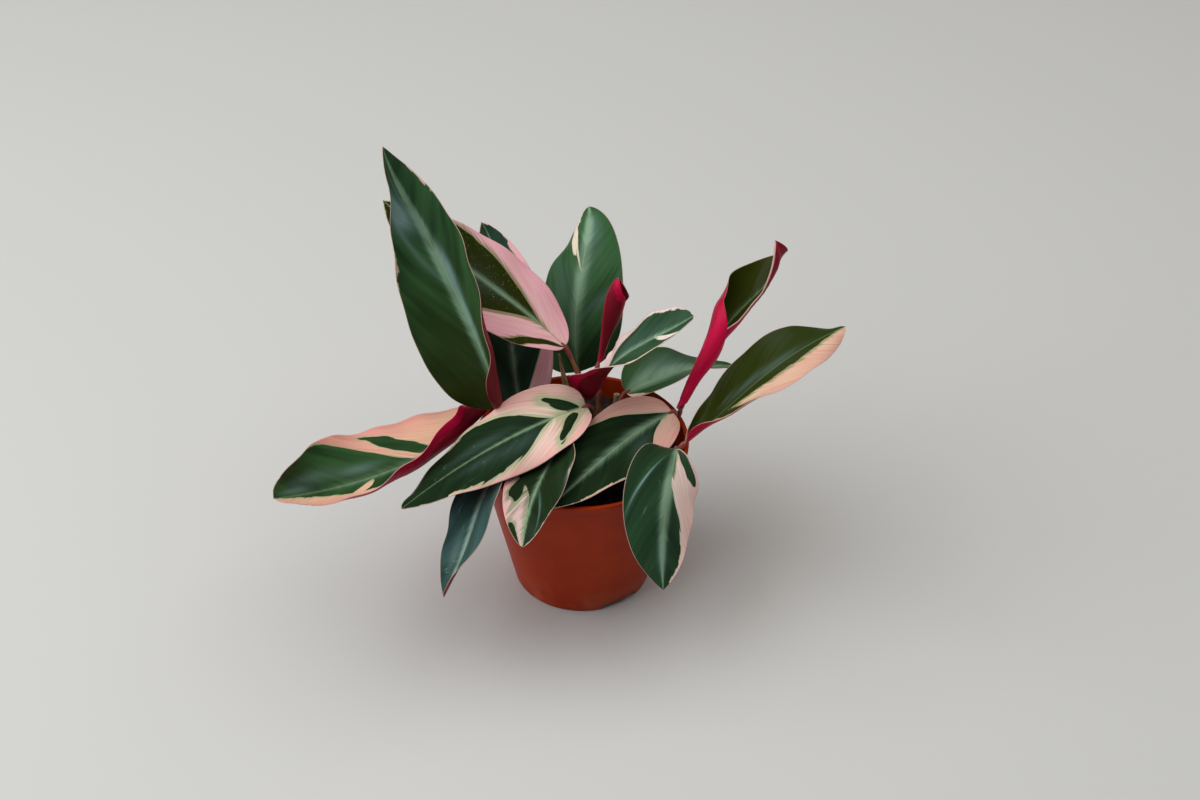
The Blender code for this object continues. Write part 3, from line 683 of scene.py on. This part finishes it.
def along(values, at):  # a quadratic through the values at the base, the middle and the tip
    if np.ndim(values) == 0:
        return values + 0 * at
    base, middle, tip = values
    return base * (1 - at) * (1 - 2 * at) + middle * 4 * at * (1 - at) + tip * at * (2 * at - 1)


def station(values, at):  # the even station before each place, and the share of the way to the next
    place = np.clip(at, 0, 1) * (len(values) - 1)
    index = np.minimum(place.astype(int), len(values) - 2)
    return index, place - index


def eased(values, at):  # smooth steps through evenly spaced values from base to tip
    index, share = station(values, at)
    values = np.asarray(values, float)
    return blend(values[index], values[index + 1], smoothStep(share))


def curved(values, at):  # a smooth curve (Catmull-Rom) through evenly spaced values
    if np.ndim(values) == 0:
        return values + 0 * at
    index, t = station(values, at)
    values = np.asarray(values, float)
    padded = np.concatenate([[2 * values[0] - values[1]], values, [2 * values[-1] - values[-2]]])
    a, b, c, d = (padded[index + k] for k in range(4))
    return b + 0.5 * t * (c - a + t * (2 * a - 5 * b + 4 * c - d + t * (3 * (b - c) + d - a)))


def midribFrame(leaf, at):  # travel, sideways to the left and the upper side's normal, row by row
    heading, rise, roll = (np.radians(along(leaf[key], at)) for key in ("heading", "rise", "roll"))
    level = np.cos(rise)
    forward = np.stack([level * np.cos(heading), level * np.sin(heading), np.sin(rise)], 1)
    side = np.stack([-np.sin(heading), np.cos(heading), 0 * heading], 1)
    upper = np.cross(forward, side)
    cosRoll, sinRoll = np.cos(roll)[:, None], np.sin(roll)[:, None]
    return forward, side * cosRoll + upper * sinRoll, upper * cosRoll - side * sinRoll


def halfWidth(leaf, at):  # u^p (1-u)^q, scaled to half the blade's width at its widest
    roundEnd, pointedEnd = leaf["outline"]
    widest = roundEnd / (roundEnd + pointedEnd)
    peak = widest ** roundEnd * (1 - widest) ** pointedEnd
    shape = at ** roundEnd * (1 - at) ** pointedEnd / peak
    return leaf["width"] / 2 * np.maximum(shape, bladeBuild["tipFraction"])


def bladeSurface(leaf, rows, columns):
    # The midrib is a chain of short steps along heading and rise. Each half is an arc to its side: its
    # angle starts at fold and turns by curl over the half blade's width, less near both ends.
    at = np.linspace(0, 1, rows + 1)
    steps = midribFrame(leaf, (at[1:] + at[:-1]) / 2)[0]
    chain = np.vstack([np.zeros(3), np.cumsum(steps, 0) * leaf["length"] / rows])
    centre = (np.array(leaf["base"], float) + chain)[:, None]
    forward, left, normal = (part[:, None] for part in midribFrame(leaf, at))
    width = halfWidth(leaf, at)
    fade = np.minimum(1, width / (leaf["width"] / 2) / bladeBuild["rollFade"])
    nearBase = bell(at, bladeBuild["lobeShare"])[:, None]
    middles = (np.arange(columns) + 0.5) / columns
    halves = []
    for sign, curl, share, lobe in zip((1, -1), ("curlLeft", "curlRight"), leaf["halves"], leaf["lobes"]):
        turn = np.radians(eased(leaf[curl], at)) * fade
        angle = math.radians(leaf["fold"]) + turn[:, None] * middles
        cell = share * width[:, None] / columns
        outward = (np.cumsum(np.cos(angle), 1) * cell)[..., None]
        above = (np.cumsum(np.sin(angle), 1) * cell)[..., None]
        behind = (np.arange(1, columns + 1) * cell * lobe * nearBase)[..., None]
        halves.append(centre + sign * left * outward + normal * above - forward * behind)
    surface = np.concatenate([halves[0][:, ::-1], centre, halves[1]], 1)
    across = np.linspace(1, -1, 2 * columns + 1)[None] + 0 * at[:, None]
    return surface, at[:, None] + 0 * across, across, width[:, None] * np.where(across > 0, *leaf["halves"])


def ovalPlace(at, across, place, side, longWay, wideWay, slant):
    # how far along and across an oval, 1 at its rim; slant leans it along the side veins
    return (at - place - slant * (np.abs(across) - abs(side))) / longWay, (across - side) / wideWay


def greenReach(leaf, at, across, width, seed):
    # millimetres inside the green: share reached less share across, times the half width; a green
    # patch adds its oval to it and a pink patch takes its oval away
    reach = np.where(across > 0, curved(leaf["greenLeft"], at), curved(leaf["greenRight"], at))
    field = (reach - np.abs(across)) * width
    wobble = [(valueNoise(at * leaf["length"], across * width, bladeBuild["patchCell"], seed + k) - 0.5)
              * bladeBuild["patchWobble"] for k in (0, 1)]
    for kind, *oval in leaf["patches"]:
        lengthwise, sideways = ovalPlace(at, across, *oval)
        radius = min(oval[2] * leaf["length"], oval[3] * leaf["width"] / 2)
        inside = (1 - np.hypot(lengthwise + wobble[0], sideways + wobble[1])) * radius
        field = np.maximum(field, inside) if kind == "green" else np.minimum(field, -inside)
    return field


def paintedSheenShare(leaf, at, across):  # painted sheen: soft ovals added up, strength times a bell of the place in each
    total = 0 * at
    for *oval, strength in leaf["paintedSheen"]:
        lengthwise, sideways = ovalPlace(at, across, *oval)
        total = total + strength * np.exp(-(lengthwise ** 2 + sideways ** 2))
    return total


def twice(values):  # one value for each point of the upper side, then the same for the underside
    return np.tile(values.ravel(), 2)


def bladeRelief(leaf, index, at, across, width, veinStart):
    # how far the upper side and the underside stand off the surface, along its normal: waves at the
    # margins, pleats between the side veins, a groove or a rib at the midrib and half the thickness
    build, share, gap = bladeBuild, np.abs(across), np.abs(across) * width
    leftPhase, rightPhase = np.random.default_rng(bladeSeeds["wave"] + index).uniform(0, fullTurn, 2)
    turn = fullTurn * at * leaf["length"] / build["waveLength"] + np.where(across > 0, leftPhase, rightPhase)
    fullness = np.minimum(1, width / (leaf["width"] / 2) * build["waveFull"])
    wave = build["wave"] * np.sin(turn) * share ** 2 * fullness
    drift = valueNoise(veinStart + build["noiseShift"] * index, across * build["pleatAcross"],
                       build["pleatCell"], bladeSeeds["pleat"] + index) * build["pleatDrift"]
    pleat = build["pleat"] * np.sin(fullTurn * veinStart / build["pleatSpacing"] + drift)
    for away in (gap, (1 - share) * width):
        pleat = pleat * np.clip(away / build["pleatFade"], 0, 1)
    taper = 1 - build["ribTaper"] * at
    groove = -build["groove"] * bell(gap, build["grooveWidth"]) * taper
    rib = build["rib"] * bell(gap, build["ribWidth"]) * taper
    thick = build["marginThickness"] + (build["thickness"] - build["marginThickness"]) * (1 - share ** 3)
    less = np.minimum(1, width / build["reliefWidth"])
    return wave + (pleat + groove) * less + thick / 2, wave + (pleat - rib) * less - thick / 2


def makeBlade(name, leaf, index, materials):
    # two closed sides around the surface, with the pattern's values kept at every point
    build = bladeBuild
    step = build["step"]
    rows, columns = round(leaf["length"] / step), round(leaf["width"] / 2 / step * build["acrossFiner"])
    surface, at, across, width = bladeSurface(leaf, rows, columns)
    share, gap = np.abs(across), np.abs(across) * width
    lean = build["veinLean"] + build["veinCurve"] * gap / (leaf["width"] / 2)
    veinStart = at * leaf["length"] - gap * lean
    normals = np.cross(np.gradient(surface, axis=1), np.gradient(surface, axis=0))
    normals = normals / np.maximum(np.linalg.norm(normals, axis=-1, keepdims=True), 1e-12)
    upper, lower = (surface + normals * height[..., None]
                    for height in bladeRelief(leaf, index, at, across, width, veinStart))
    points, faces, upperCount = closedSheet(upper, lower)
    blade = meshPiece(name, points, faces.tolist(), materials)
    mesh = blade.data
    slots = np.zeros(len(faces), np.int32)
    slots[upperCount:2 * upperCount] = 1
    mesh.polygons.foreach_set("material_index", slots)
    fields = {label: np.maximum(along(leaf[label], at), 0) for label in leafShares}
    fields["paleMargin"] = fields["paleMargin"] * (across * leaf["paleSide"] > 0)
    fields["paleBand"] = along(leaf["pale"], at) * bell(share, along(leaf["paleWidth"], at))
    fields["greenReach"] = greenReach(leaf, at, across, width, bladeSeeds["patch"] + 2 * index)
    fields["paintedSheenShare"] = paintedSheenShare(leaf, at, across)
    fields["marginGap"], fields["midribGap"] = (1 - share) * width, gap
    for label, values in fields.items():
        setFloat(mesh, label, twice(values))
    inner, outer = (np.array(tone) for tone in pinkTones[leaf["pinkTone"]])
    drift = valueNoise(veinStart + build["noiseShift"] * index, across * width, build["toneCell"],
                       bladeSeeds["tone"] + index) - 0.5
    outward = np.clip(share ** 2 * build["toneOut"] + drift * build["toneDrift"], 0, 1)[..., None]
    setColour(mesh, "pinkTone", np.tile((inner + (outer - inner) * outward).reshape(-1, 3), (2, 1)))
    setUv(mesh, "veins", np.stack([  # in centimetres
        twice(veinStart) / 10 + build["veinShift"] * index, twice(across * width) / 10], 1))
    return blade


stalkBuild = dict(
    sides=18, rings=46, startDepth=3.0, overlap=3.0, endGap=0.5,  # in the soil, in the blade, below it
    footCap=0.5, tipCap=0.4,  # how far the ends' poles stand off
    sheathRadius=2.6, sheathShare=0.35, sheathPower=0.7, stalkRadius=1.15,
    jointRadius=1.45, jointLength=8.0, tipRadius=0.7, tipSlope=0.35,  # the swollen joint below the blade
    reachShare=0.38, upright=0.7, colourShare=0.8, jointFade=3)

stalkFinish = dict(
    sheath=(0.22, 0.13, 0.045), stalk=(0.28, 0.115, 0.040), joint=(0.26, 0.055, 0.040), depth=(0.55,) * 3,
    grain=90.0, strands=(1.0, 34.0, 1.0), roughness=(0.36, 0.5), bump=(0.4, 0.0002))


def stalkPath(start, end, arrive, count):
    # a cubic curve that leaves upright and ends along arrive
    reach = np.linalg.norm(end - start) * stalkBuild["reachShare"]
    t = np.linspace(0, 1, count)[:, None]
    return (start * (1 - t) ** 3 + (start + np.array((0.0, 0.0, 1.0)) * reach) * 3 * t * (1 - t) ** 2
            + (end - arrive * reach) * 3 * t ** 2 * (1 - t) + end * t ** 3)


def tubeRings(path, radii, sides):
    # circles square to the path, kept from twisting by one fixed sideways direction
    travel = unit(np.gradient(path, axis=0))
    first = unit(np.cross(travel, unit(np.array((0.31, 0.87, 0.38)))))
    second = np.cross(travel, first)
    turn = fullCircle(sides)[:, None]
    ring = first[:, None] * np.cos(turn) + second[:, None] * np.sin(turn)
    return path[:, None] + ring * radii[:, None, None]


def setStrands(mesh, run, sides):  # UV: the run along a tube, and half the way round it and back
    around = np.tile(np.arange(sides) / sides, len(run))
    strands = np.stack([np.repeat(run, sides), np.abs(around - 0.5)], 1)
    setUv(mesh, "strands", np.vstack([strands, [[0, 0], [run[-1], 0]]]))


def stalkMaterial(grain):
    look = stalkFinish
    material, nodes, shader, marks = grainMaterial("leafStalk", look, grain)
    share = nodes.readFloat("stalkShare")  # 0 at the soil, 1 at the swollen joint, 2 at the blade
    wander = nodes.timesPlus(nodes.offMiddle(marks["Patches"]), 0.5, share)
    colour = nodes.mix(nodes.ramp(wander, 0.25, 0.75), look["sheath"], look["stalk"])
    colour = nodes.mix(nodes.ramp(wander, 0.95, 1.35), colour, look["joint"])
    strands = nodes.noise(nodes.stretch(nodes.readUv("strands"), look["strands"]))
    darker = nodes.mix(1.0, colour, look["depth"], "MULTIPLY")
    colour = nodes.mix(nodes.ramp(strands, 0.45, 0.7), colour, darker)
    dress(nodes, shader, look, colour, strands, strands)
    return material


def makeStalk(name, leaf, soilTop, material):
    # the radius falls from the sheath to the stalk by a power, swells by a bell at the joint and
    # narrows into the blade
    build, joint = stalkBuild, stalkBuild["jointLength"]
    base, forward = np.array(leaf["base"], float), midribFrame(leaf, np.array([0.0]))[0][0]
    foot = np.array((*leaf["foot"], soilTop - build["startDepth"]), float)
    arrive = unit(forward + np.array((0.0, 0.0, build["upright"])))
    path = stalkPath(foot, base - forward * build["endGap"], arrive, build["rings"])
    path = np.vstack([path, base + forward * build["overlap"]])
    run = np.concatenate([[0], np.cumsum(np.linalg.norm(np.diff(path, axis=0), axis=1))])
    share, toBlade = run / run[-1], run[-1] - run
    fall = np.clip(share / build["sheathShare"], 0, 1) ** build["sheathPower"]
    swell = np.exp(-((toBlade - joint * 0.6) / (joint * 0.5)) ** 4)
    radii = (build["sheathRadius"] + (build["stalkRadius"] - build["sheathRadius"]) * fall
             + (build["jointRadius"] - build["stalkRadius"]) * swell)
    radii = np.minimum(radii, build["tipRadius"] + toBlade * build["tipSlope"])
    rings = tubeRings(path, radii, build["sides"])
    poles = path[0] - (0, 0, build["footCap"]), path[-1] + forward * build["tipCap"]
    points, faces = closedRings(rings, *poles)
    stalk = meshPiece(name, points, faces, [material])
    zone = (np.clip(share / build["colourShare"], 0, 1)
            + np.clip(1 - (toBlade - joint) / build["jointFade"], 0, 1))
    setFloat(stalk.data, "stalkShare", np.concatenate([np.repeat(zone, build["sides"]), [0, 2]]))
    setStrands(stalk.data, run / 10, build["sides"])
    return stalk


# notchHeading is the middle of the first notch; the drain holes stand evenly from there.
potShape = dict(
    height=95.0, rimRadius=60.0, lipHeight=3.2, lipProud=1.0, baseRadius=39.2, wall=1.4,
    footWidth=3.4, channelHeight=3.6, padRadius=20.0, channelSlope=3.0, edge=0.55,
    notchWidth=22.0, notchHeight=3.2, notchCount=2, notchHeading=-56.0,
    notchEase=1.2, notchReach=1.5,  # run of its sides' slopes, and how far inside the foot it starts
    drainRadius=3.0, drainCount=8, drainSides=32, sides=216, roundSteps=5, longestRun=4.5, sharpAngle=50)

potFinish = dict(
    body=(0.31, 0.023, 0.002), light=(0.37, 0.034, 0.004), dust=(0.46, 0.13, 0.07), grain=28.0,
    dustHeight=0.022, dustShare=0.5, scuffs=(60.0, 60.0, 900.0), scuffShare=0.18,
    roughness=(0.40, 0.52), specular=0.12, bump=(0.12, 0.0003))


def wallRadius(height):  # outside, below the lip: it grows evenly with the height
    top = potShape["rimRadius"] - potShape["lipProud"]
    return potShape["baseRadius"] + (top - potShape["baseRadius"]) * height / potShape["height"]


def roundedProfile(corners, steps):
    # straight runs between corners, each corner turned by a quadratic curve that starts and ends at
    # its rounding's distance from it
    places = np.array([corner[:2] for corner in corners], float)
    t = np.linspace(0, 1, steps + 1)[:, None]
    profile = [places[:1]]
    for before, middle, after, (*_, radius) in zip(places, places[1:], places[2:], corners[1:]):
        enter = middle + unit(before - middle) * radius
        leave = middle + unit(after - middle) * radius
        profile.append(enter * (1 - t) ** 2 + middle * 2 * t * (1 - t) + leave * t ** 2)
    return np.vstack([*profile, places[-1:]])


def finer(profile, longest):  # cuts long straight runs into even parts
    out = [profile[0]]
    for start, end in zip(profile, profile[1:]):
        parts = max(1, math.ceil(np.linalg.norm(end - start) / longest))
        out.extend(start + (end - start) * k / parts for k in range(1, parts + 1))
    return np.array(out)


def potMaterial(grain):
    look = potFinish
    material, nodes, shader, marks = grainMaterial("potPlastic", look, grain)
    place = nodes.place()
    colour = nodes.mix(nodes.ramp(marks["Patches"], 0.38, 0.66), look["body"], look["light"])
    lowDown = nodes.ramp(nodes.split(place, "Z"), 0.0, look["dustHeight"], 1.0, 0.0)
    dusty = nodes.times(lowDown, nodes.ramp(marks["Patches"], 0.42, 0.62))
    colour = nodes.mix(nodes.times(dusty, look["dustShare"]), colour, look["dust"])
    scuffs = nodes.noise(nodes.stretch(place, look["scuffs"]), 1.0, 3.0, 0.6)
    scuffed = nodes.times(nodes.ramp(scuffs, 0.64, 0.72), look["scuffShare"])
    colour = nodes.mix(scuffed, colour, look["dust"])
    dress(nodes, shader, look, colour, marks["Patches"], marks["Height"])
    return material


def cutHole(pot, place):  # takes an upright cylinder, its middle at place in millimetres, from the mesh
    sides, radius, depth = potShape["drainSides"], potShape["drainRadius"], 6 * potShape["wall"]
    bpy.ops.mesh.primitive_cylinder_add(
        vertices=sides, radius=radius * mm, depth=depth * mm, location=[part * mm for part in place])
    cutter = bpy.context.object
    cut = pot.modifiers.new("drain", "BOOLEAN")
    cut.object = cutter
    cut.operation = "DIFFERENCE"
    cut.solver = "EXACT"
    view = bpy.context.evaluated_depsgraph_get()
    finished = bpy.data.meshes.new_from_object(pot.evaluated_get(view))
    pot.modifiers.clear()
    pot.data = finished
    bpy.data.objects.remove(cutter, do_unlink=True)


def makePot(material):
    # The rounded profile turned about Z. In a notch the foot's points rise to the notch's height, and
    # the drain holes go through the floor above the channel.
    shape = potShape
    wall, height, rim, base = (shape[key] for key in ("wall", "height", "rimRadius", "baseRadius"))
    pad, channel, edge = (shape[key] for key in ("padRadius", "channelHeight", "edge"))
    floor, lipFoot = channel + wall, height - shape["lipHeight"]
    channelIn, channelOut = pad + shape["channelSlope"], base - shape["footWidth"]
    corners = [  # radius, height, rounding
        (0.5, 0.0, 0.3), (pad, 0.0, 0.5), (channelIn, channel, 0.6), (channelOut - 0.4, channel, 0.6),
        (channelOut, 0.0, edge), (base, 0.0, 1.1), (wallRadius(lipFoot), lipFoot, 0.5),
        (rim - 0.1, lipFoot + 0.5, 0.4), (rim, height, edge * 1.3),
        (rim - shape["lipProud"] - wall, height, edge), (wallRadius(floor) - wall, floor, 1.2),
        (channelIn - 1.0, floor, 0.8), (pad - 1.0, wall, 0.8), (0.5, wall, 0.3)]
    profile = finer(roundedProfile(corners, shape["roundSteps"]), shape["longestRun"])
    turn = fullCircle(shape["sides"])
    out, up = profile[:, :1], profile[:, 1:]
    first, spread = math.radians(shape["notchHeading"]), fullTurn / shape["notchCount"]
    off = np.abs((turn - first + spread / 2) % spread - spread / 2) * base
    inNotch = np.clip((shape["notchWidth"] / 2 - off) / shape["notchEase"] + 0.5, 0, 1)
    onFoot = np.clip(out - channelOut + shape["notchReach"], 0, 1) * (up < shape["notchHeight"])
    up = up + np.maximum((shape["notchHeight"] - up) * inNotch * onFoot, 0)
    points, faces = closedRings(aroundZ(out, turn, up), (0, 0, 0), (0, 0, wall))
    pot = meshPiece("pot_shell", points, faces, [material])
    middle = (channelIn + channelOut) / 2
    for index in range(shape["drainCount"]):
        heading = first + fullTurn * index / shape["drainCount"]
        cutHole(pot, (middle * math.cos(heading), middle * math.sin(heading), floor))
    pot.data.set_sharp_from_angle(angle=math.radians(shape["sharpAngle"]))
    return pot


soilShape = dict(
    edgeGap=0.15, edgeDrop=1.6, edgePower=6, rings=110, sides=300, innermost=0.004,
    lumps=((13.0, 2.2), (5.5, 1.7), (2.4, 1.0), (1.2, 0.5)),  # size and height
    crumbs=620, crumbSize=(0.6, 2.1), crumbSides=7, crumbRings=4, crumbLift=0.25, crumbGap=1.5,
    crumbRough=(0.62, 1.25), crumbStretch=((0.7, 1.7), (0.6, 1.1), (0.5, 0.9)), seed=12)

soilFinish = dict(
    dark=(0.012, 0.009, 0.007), brown=(0.050, 0.032, 0.019), bits=(0.14, 0.085, 0.045), grain=120.0,
    roughness=(0.8, 0.97), bump=(0.8, 0.0007))


def soilMaterial(grain):
    look = soilFinish
    material, nodes, shader, marks = grainMaterial("pottingSoil", look, grain)
    colour = nodes.mix(nodes.ramp(marks["Patches"], 0.35, 0.7), look["dark"], look["brown"])
    colour = nodes.mix(nodes.ramp(marks["Specks"], 0.68, 0.76), colour, look["bits"])
    dress(nodes, shader, look, colour, marks["Patches"], marks["Height"])
    return material


def soilLevel(x, y, outShare, soilTop):
    # the soil's level, less a drop that grows with a power of the way out, plus lumps of four sizes
    lumps = 0 * x
    for index, (cell, tall) in enumerate(soilShape["lumps"]):
        lumps = lumps + (valueNoise(x, y, cell, soilShape["seed"] + index) - 0.5) * tall
    return soilTop - soilShape["edgeDrop"] * outShare ** soilShape["edgePower"] + lumps


def makeSoil(material, soilTop):
    # rings from the middle of the pot's floor, out and up inside its wall, and in over the top
    shape, wall = soilShape, potShape["wall"]
    outer = wallRadius(soilTop) - wall - shape["edgeGap"]
    turn = fullCircle(shape["sides"])
    radius = outer * np.linspace(1, shape["innermost"], shape["rings"])[:, None]
    level = soilLevel(radius * np.cos(turn), radius * np.sin(turn), radius / outer, soilTop)
    top = aroundZ(radius, turn, level)
    floor = potShape["channelHeight"] + wall + 0.3
    low = wallRadius(floor) - wall - 0.5
    under = [aroundZ(r, turn, z) for r, z in ((0.5, floor), (low, floor), (outer, soilTop - 5))]
    points, faces = closedRings(np.concatenate([under, top]), (0, 0, floor), top[-1].mean(0))
    return meshPiece("soil_bed", points, faces, [material]), outer


def makeCrumbs(material, soilTop, outer):
    # rough balls of a few faces: rings of a ball, with every corner pushed in or out
    shape = soilShape
    rng = np.random.default_rng(shape["seed"])
    count, turn = shape["crumbs"], fullCircle(shape["crumbSides"])
    small, large = shape["crumbSize"]
    size = small + (large - small) * rng.random(count) ** 3
    radius = (outer - shape["crumbGap"]) * np.sqrt(rng.random(count))
    heading = rng.uniform(0, fullTurn, count)
    x, y = radius * np.cos(heading), radius * np.sin(heading)
    level = soilLevel(x, y, radius / outer, soilTop) + size * shape["crumbLift"]
    up = np.linspace(-1, 1, shape["crumbRings"] + 2)[1:-1, None] * 0.8
    ball, faces = closedRings(aroundZ(np.sqrt(1 - up ** 2), turn, up), (0, 0, -1), (0, 0, 1))
    rough = rng.uniform(*shape["crumbRough"], (count, len(ball), 1))
    stretch = np.stack([rng.uniform(*ends, count) for ends in shape["crumbStretch"]], 1)
    local = ball * rough * stretch[:, None] * size[:, None, None] * 0.5
    spin = rng.uniform(0, fullTurn, count)[:, None]
    turned = np.stack([local[..., 0] * np.cos(spin) - local[..., 1] * np.sin(spin),
                       local[..., 0] * np.sin(spin) + local[..., 1] * np.cos(spin), local[..., 2]], -1)
    points = turned + np.stack([x, y, level], 1)[:, None]
    allFaces = [[corner + index * len(ball) for corner in face] for index in range(count) for face in faces]
    return meshPiece("soil_crumbs", points.reshape(-1, 3), allFaces, [material])


# two thin dry tubes: one is cut off around a hollow, the other ends in a point
stubShape = dict(foot=(19, 33), top=(20, 37, 98), radius=1.7, sides=20, rings=30, pointed=False)
sheathShape = dict(foot=(-7, 38), top=(-13, 50, 117), radius=1.6, sides=20, rings=40, pointed=True)
dryBuild = dict(
    footWider=0.15, marks=(0.35, 0.62, 0.86), markWidth=0.018, markHeight=0.08,  # raised rings
    point=(2.2, 0.25, 0.6),  # how soon it narrows, least share of the radius, power
    hollow=((0.86, -0.1), (0.56, -0.05), (0.46, 0.5), (0.40, 3.0)),  # share of the radius, depth
    hollowDepth=3.2, strandRun=4, sharpAngle=60)
dryFinish = dict(
    papery=(0.36, 0.24, 0.11), brown=(0.13, 0.065, 0.028), cut=(0.50, 0.38, 0.22), grain=160.0,
    strands=(1.5, 26.0, 1.0), roughness=(0.6, 0.8), bump=(0.6, 0.0004))


def dryMaterial(grain):
    look = dryFinish
    material, nodes, shader, marks = grainMaterial("dryStem", look, grain)
    strands = nodes.noise(nodes.stretch(nodes.readUv("strands"), look["strands"]))
    colour = nodes.mix(nodes.ramp(strands, 0.38, 0.66), look["papery"], look["brown"])
    colour = nodes.mix(nodes.ramp(marks["Patches"], 0.5, 0.7), colour, look["brown"])
    colour = nodes.mix(nodes.readFloat("cutShare"), colour, look["cut"])
    dress(nodes, shader, look, colour, marks["Patches"], strands)
    return material


def makeDryPiece(name, shape, soilTop, material):
    # the radius falls evenly, and at each mark a bell raises a ring
    build, count = dryBuild, shape["rings"]
    foot = np.array((*shape["foot"], soilTop - stalkBuild["startDepth"]), float)
    top = np.array(shape["top"], float)
    rise, share = unit(top - foot), np.linspace(0, 1, count)
    path = stalkPath(foot, top, rise, count)
    radii = shape["radius"] * (1 + build["footWider"] * (1 - share))
    if shape["pointed"]:
        soon, least, power = build["point"]
        radii = radii * np.clip((1 - share) * soon, least, 1) ** power
    raised = bell(share[:, None] - np.array(build["marks"]), build["markWidth"]).sum(1)
    rings = tubeRings(path, radii * (1 + build["markHeight"] * raised), shape["sides"])
    middle = path[-1] - rise * 0.1
    if not shape["pointed"]:
        hollow = [middle + (rings[-1] - path[-1]) * size - rise * depth for size, depth in build["hollow"]]
        rings = np.concatenate([rings, hollow])
        middle = middle - rise * build["hollowDepth"]
    points, faces = closedRings(rings, path[0] - (0, 0, stalkBuild["footCap"]), middle)
    piece = meshPiece(name, points, faces, [material])
    cut = np.zeros(len(rings))
    cut[count - 1:-2] = not shape["pointed"]  # the rim and the cut face, but not the inside of the hollow
    setFloat(piece.data, "cutShare", np.concatenate([np.repeat(cut, shape["sides"]), [0, 0]]))
    setStrands(piece.data, np.linspace(0, build["strandRun"], len(rings)), shape["sides"])
    piece.data.set_sharp_from_angle(angle=math.radians(build["sharpAngle"]))
    return piece


makeView()
makeLight()
makeFloor()
print("view, light and floor ready")

pattern, grain = leafPatternGroup(), grainGroup()
leafMaterials = [upperMaterial(pattern), undersideMaterial(pattern)]
stalkSkin = stalkMaterial(grain)
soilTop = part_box("soil")[1][2] / mm

for index, (suffix, ownValues) in enumerate(leaves.items()):
    leaf = {**leafUsual, **leafShares, **ownValues}
    blade = makeBlade("blade_" + suffix, leaf, index, leafMaterials)
    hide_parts("leaf_" + suffix)
    stalk = makeStalk("stalk_" + suffix, leaf, soilTop, stalkSkin)
    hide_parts("stem_" + suffix)
print("leaves and stalks made")

pot = makePot(potMaterial(grain))
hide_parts("pot")
soilSkin = soilMaterial(grain)
soil, soilOuter = makeSoil(soilSkin, soilTop)
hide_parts("soil")
crumbs = makeCrumbs(soilSkin, soilTop, soilOuter)
print("pot and soil made")

drySkin = dryMaterial(grain)
for name, node, shape, slot in (("old_stub", "stem_cut_stub", stubShape, "stem"),
                                ("dry_sheath", "stem_dry_sheath", sheathShape, "dry_stem")):
    piece = makeDryPiece(name, shape, soilTop, drySkin)
    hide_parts(node)
print("old stem pieces made")
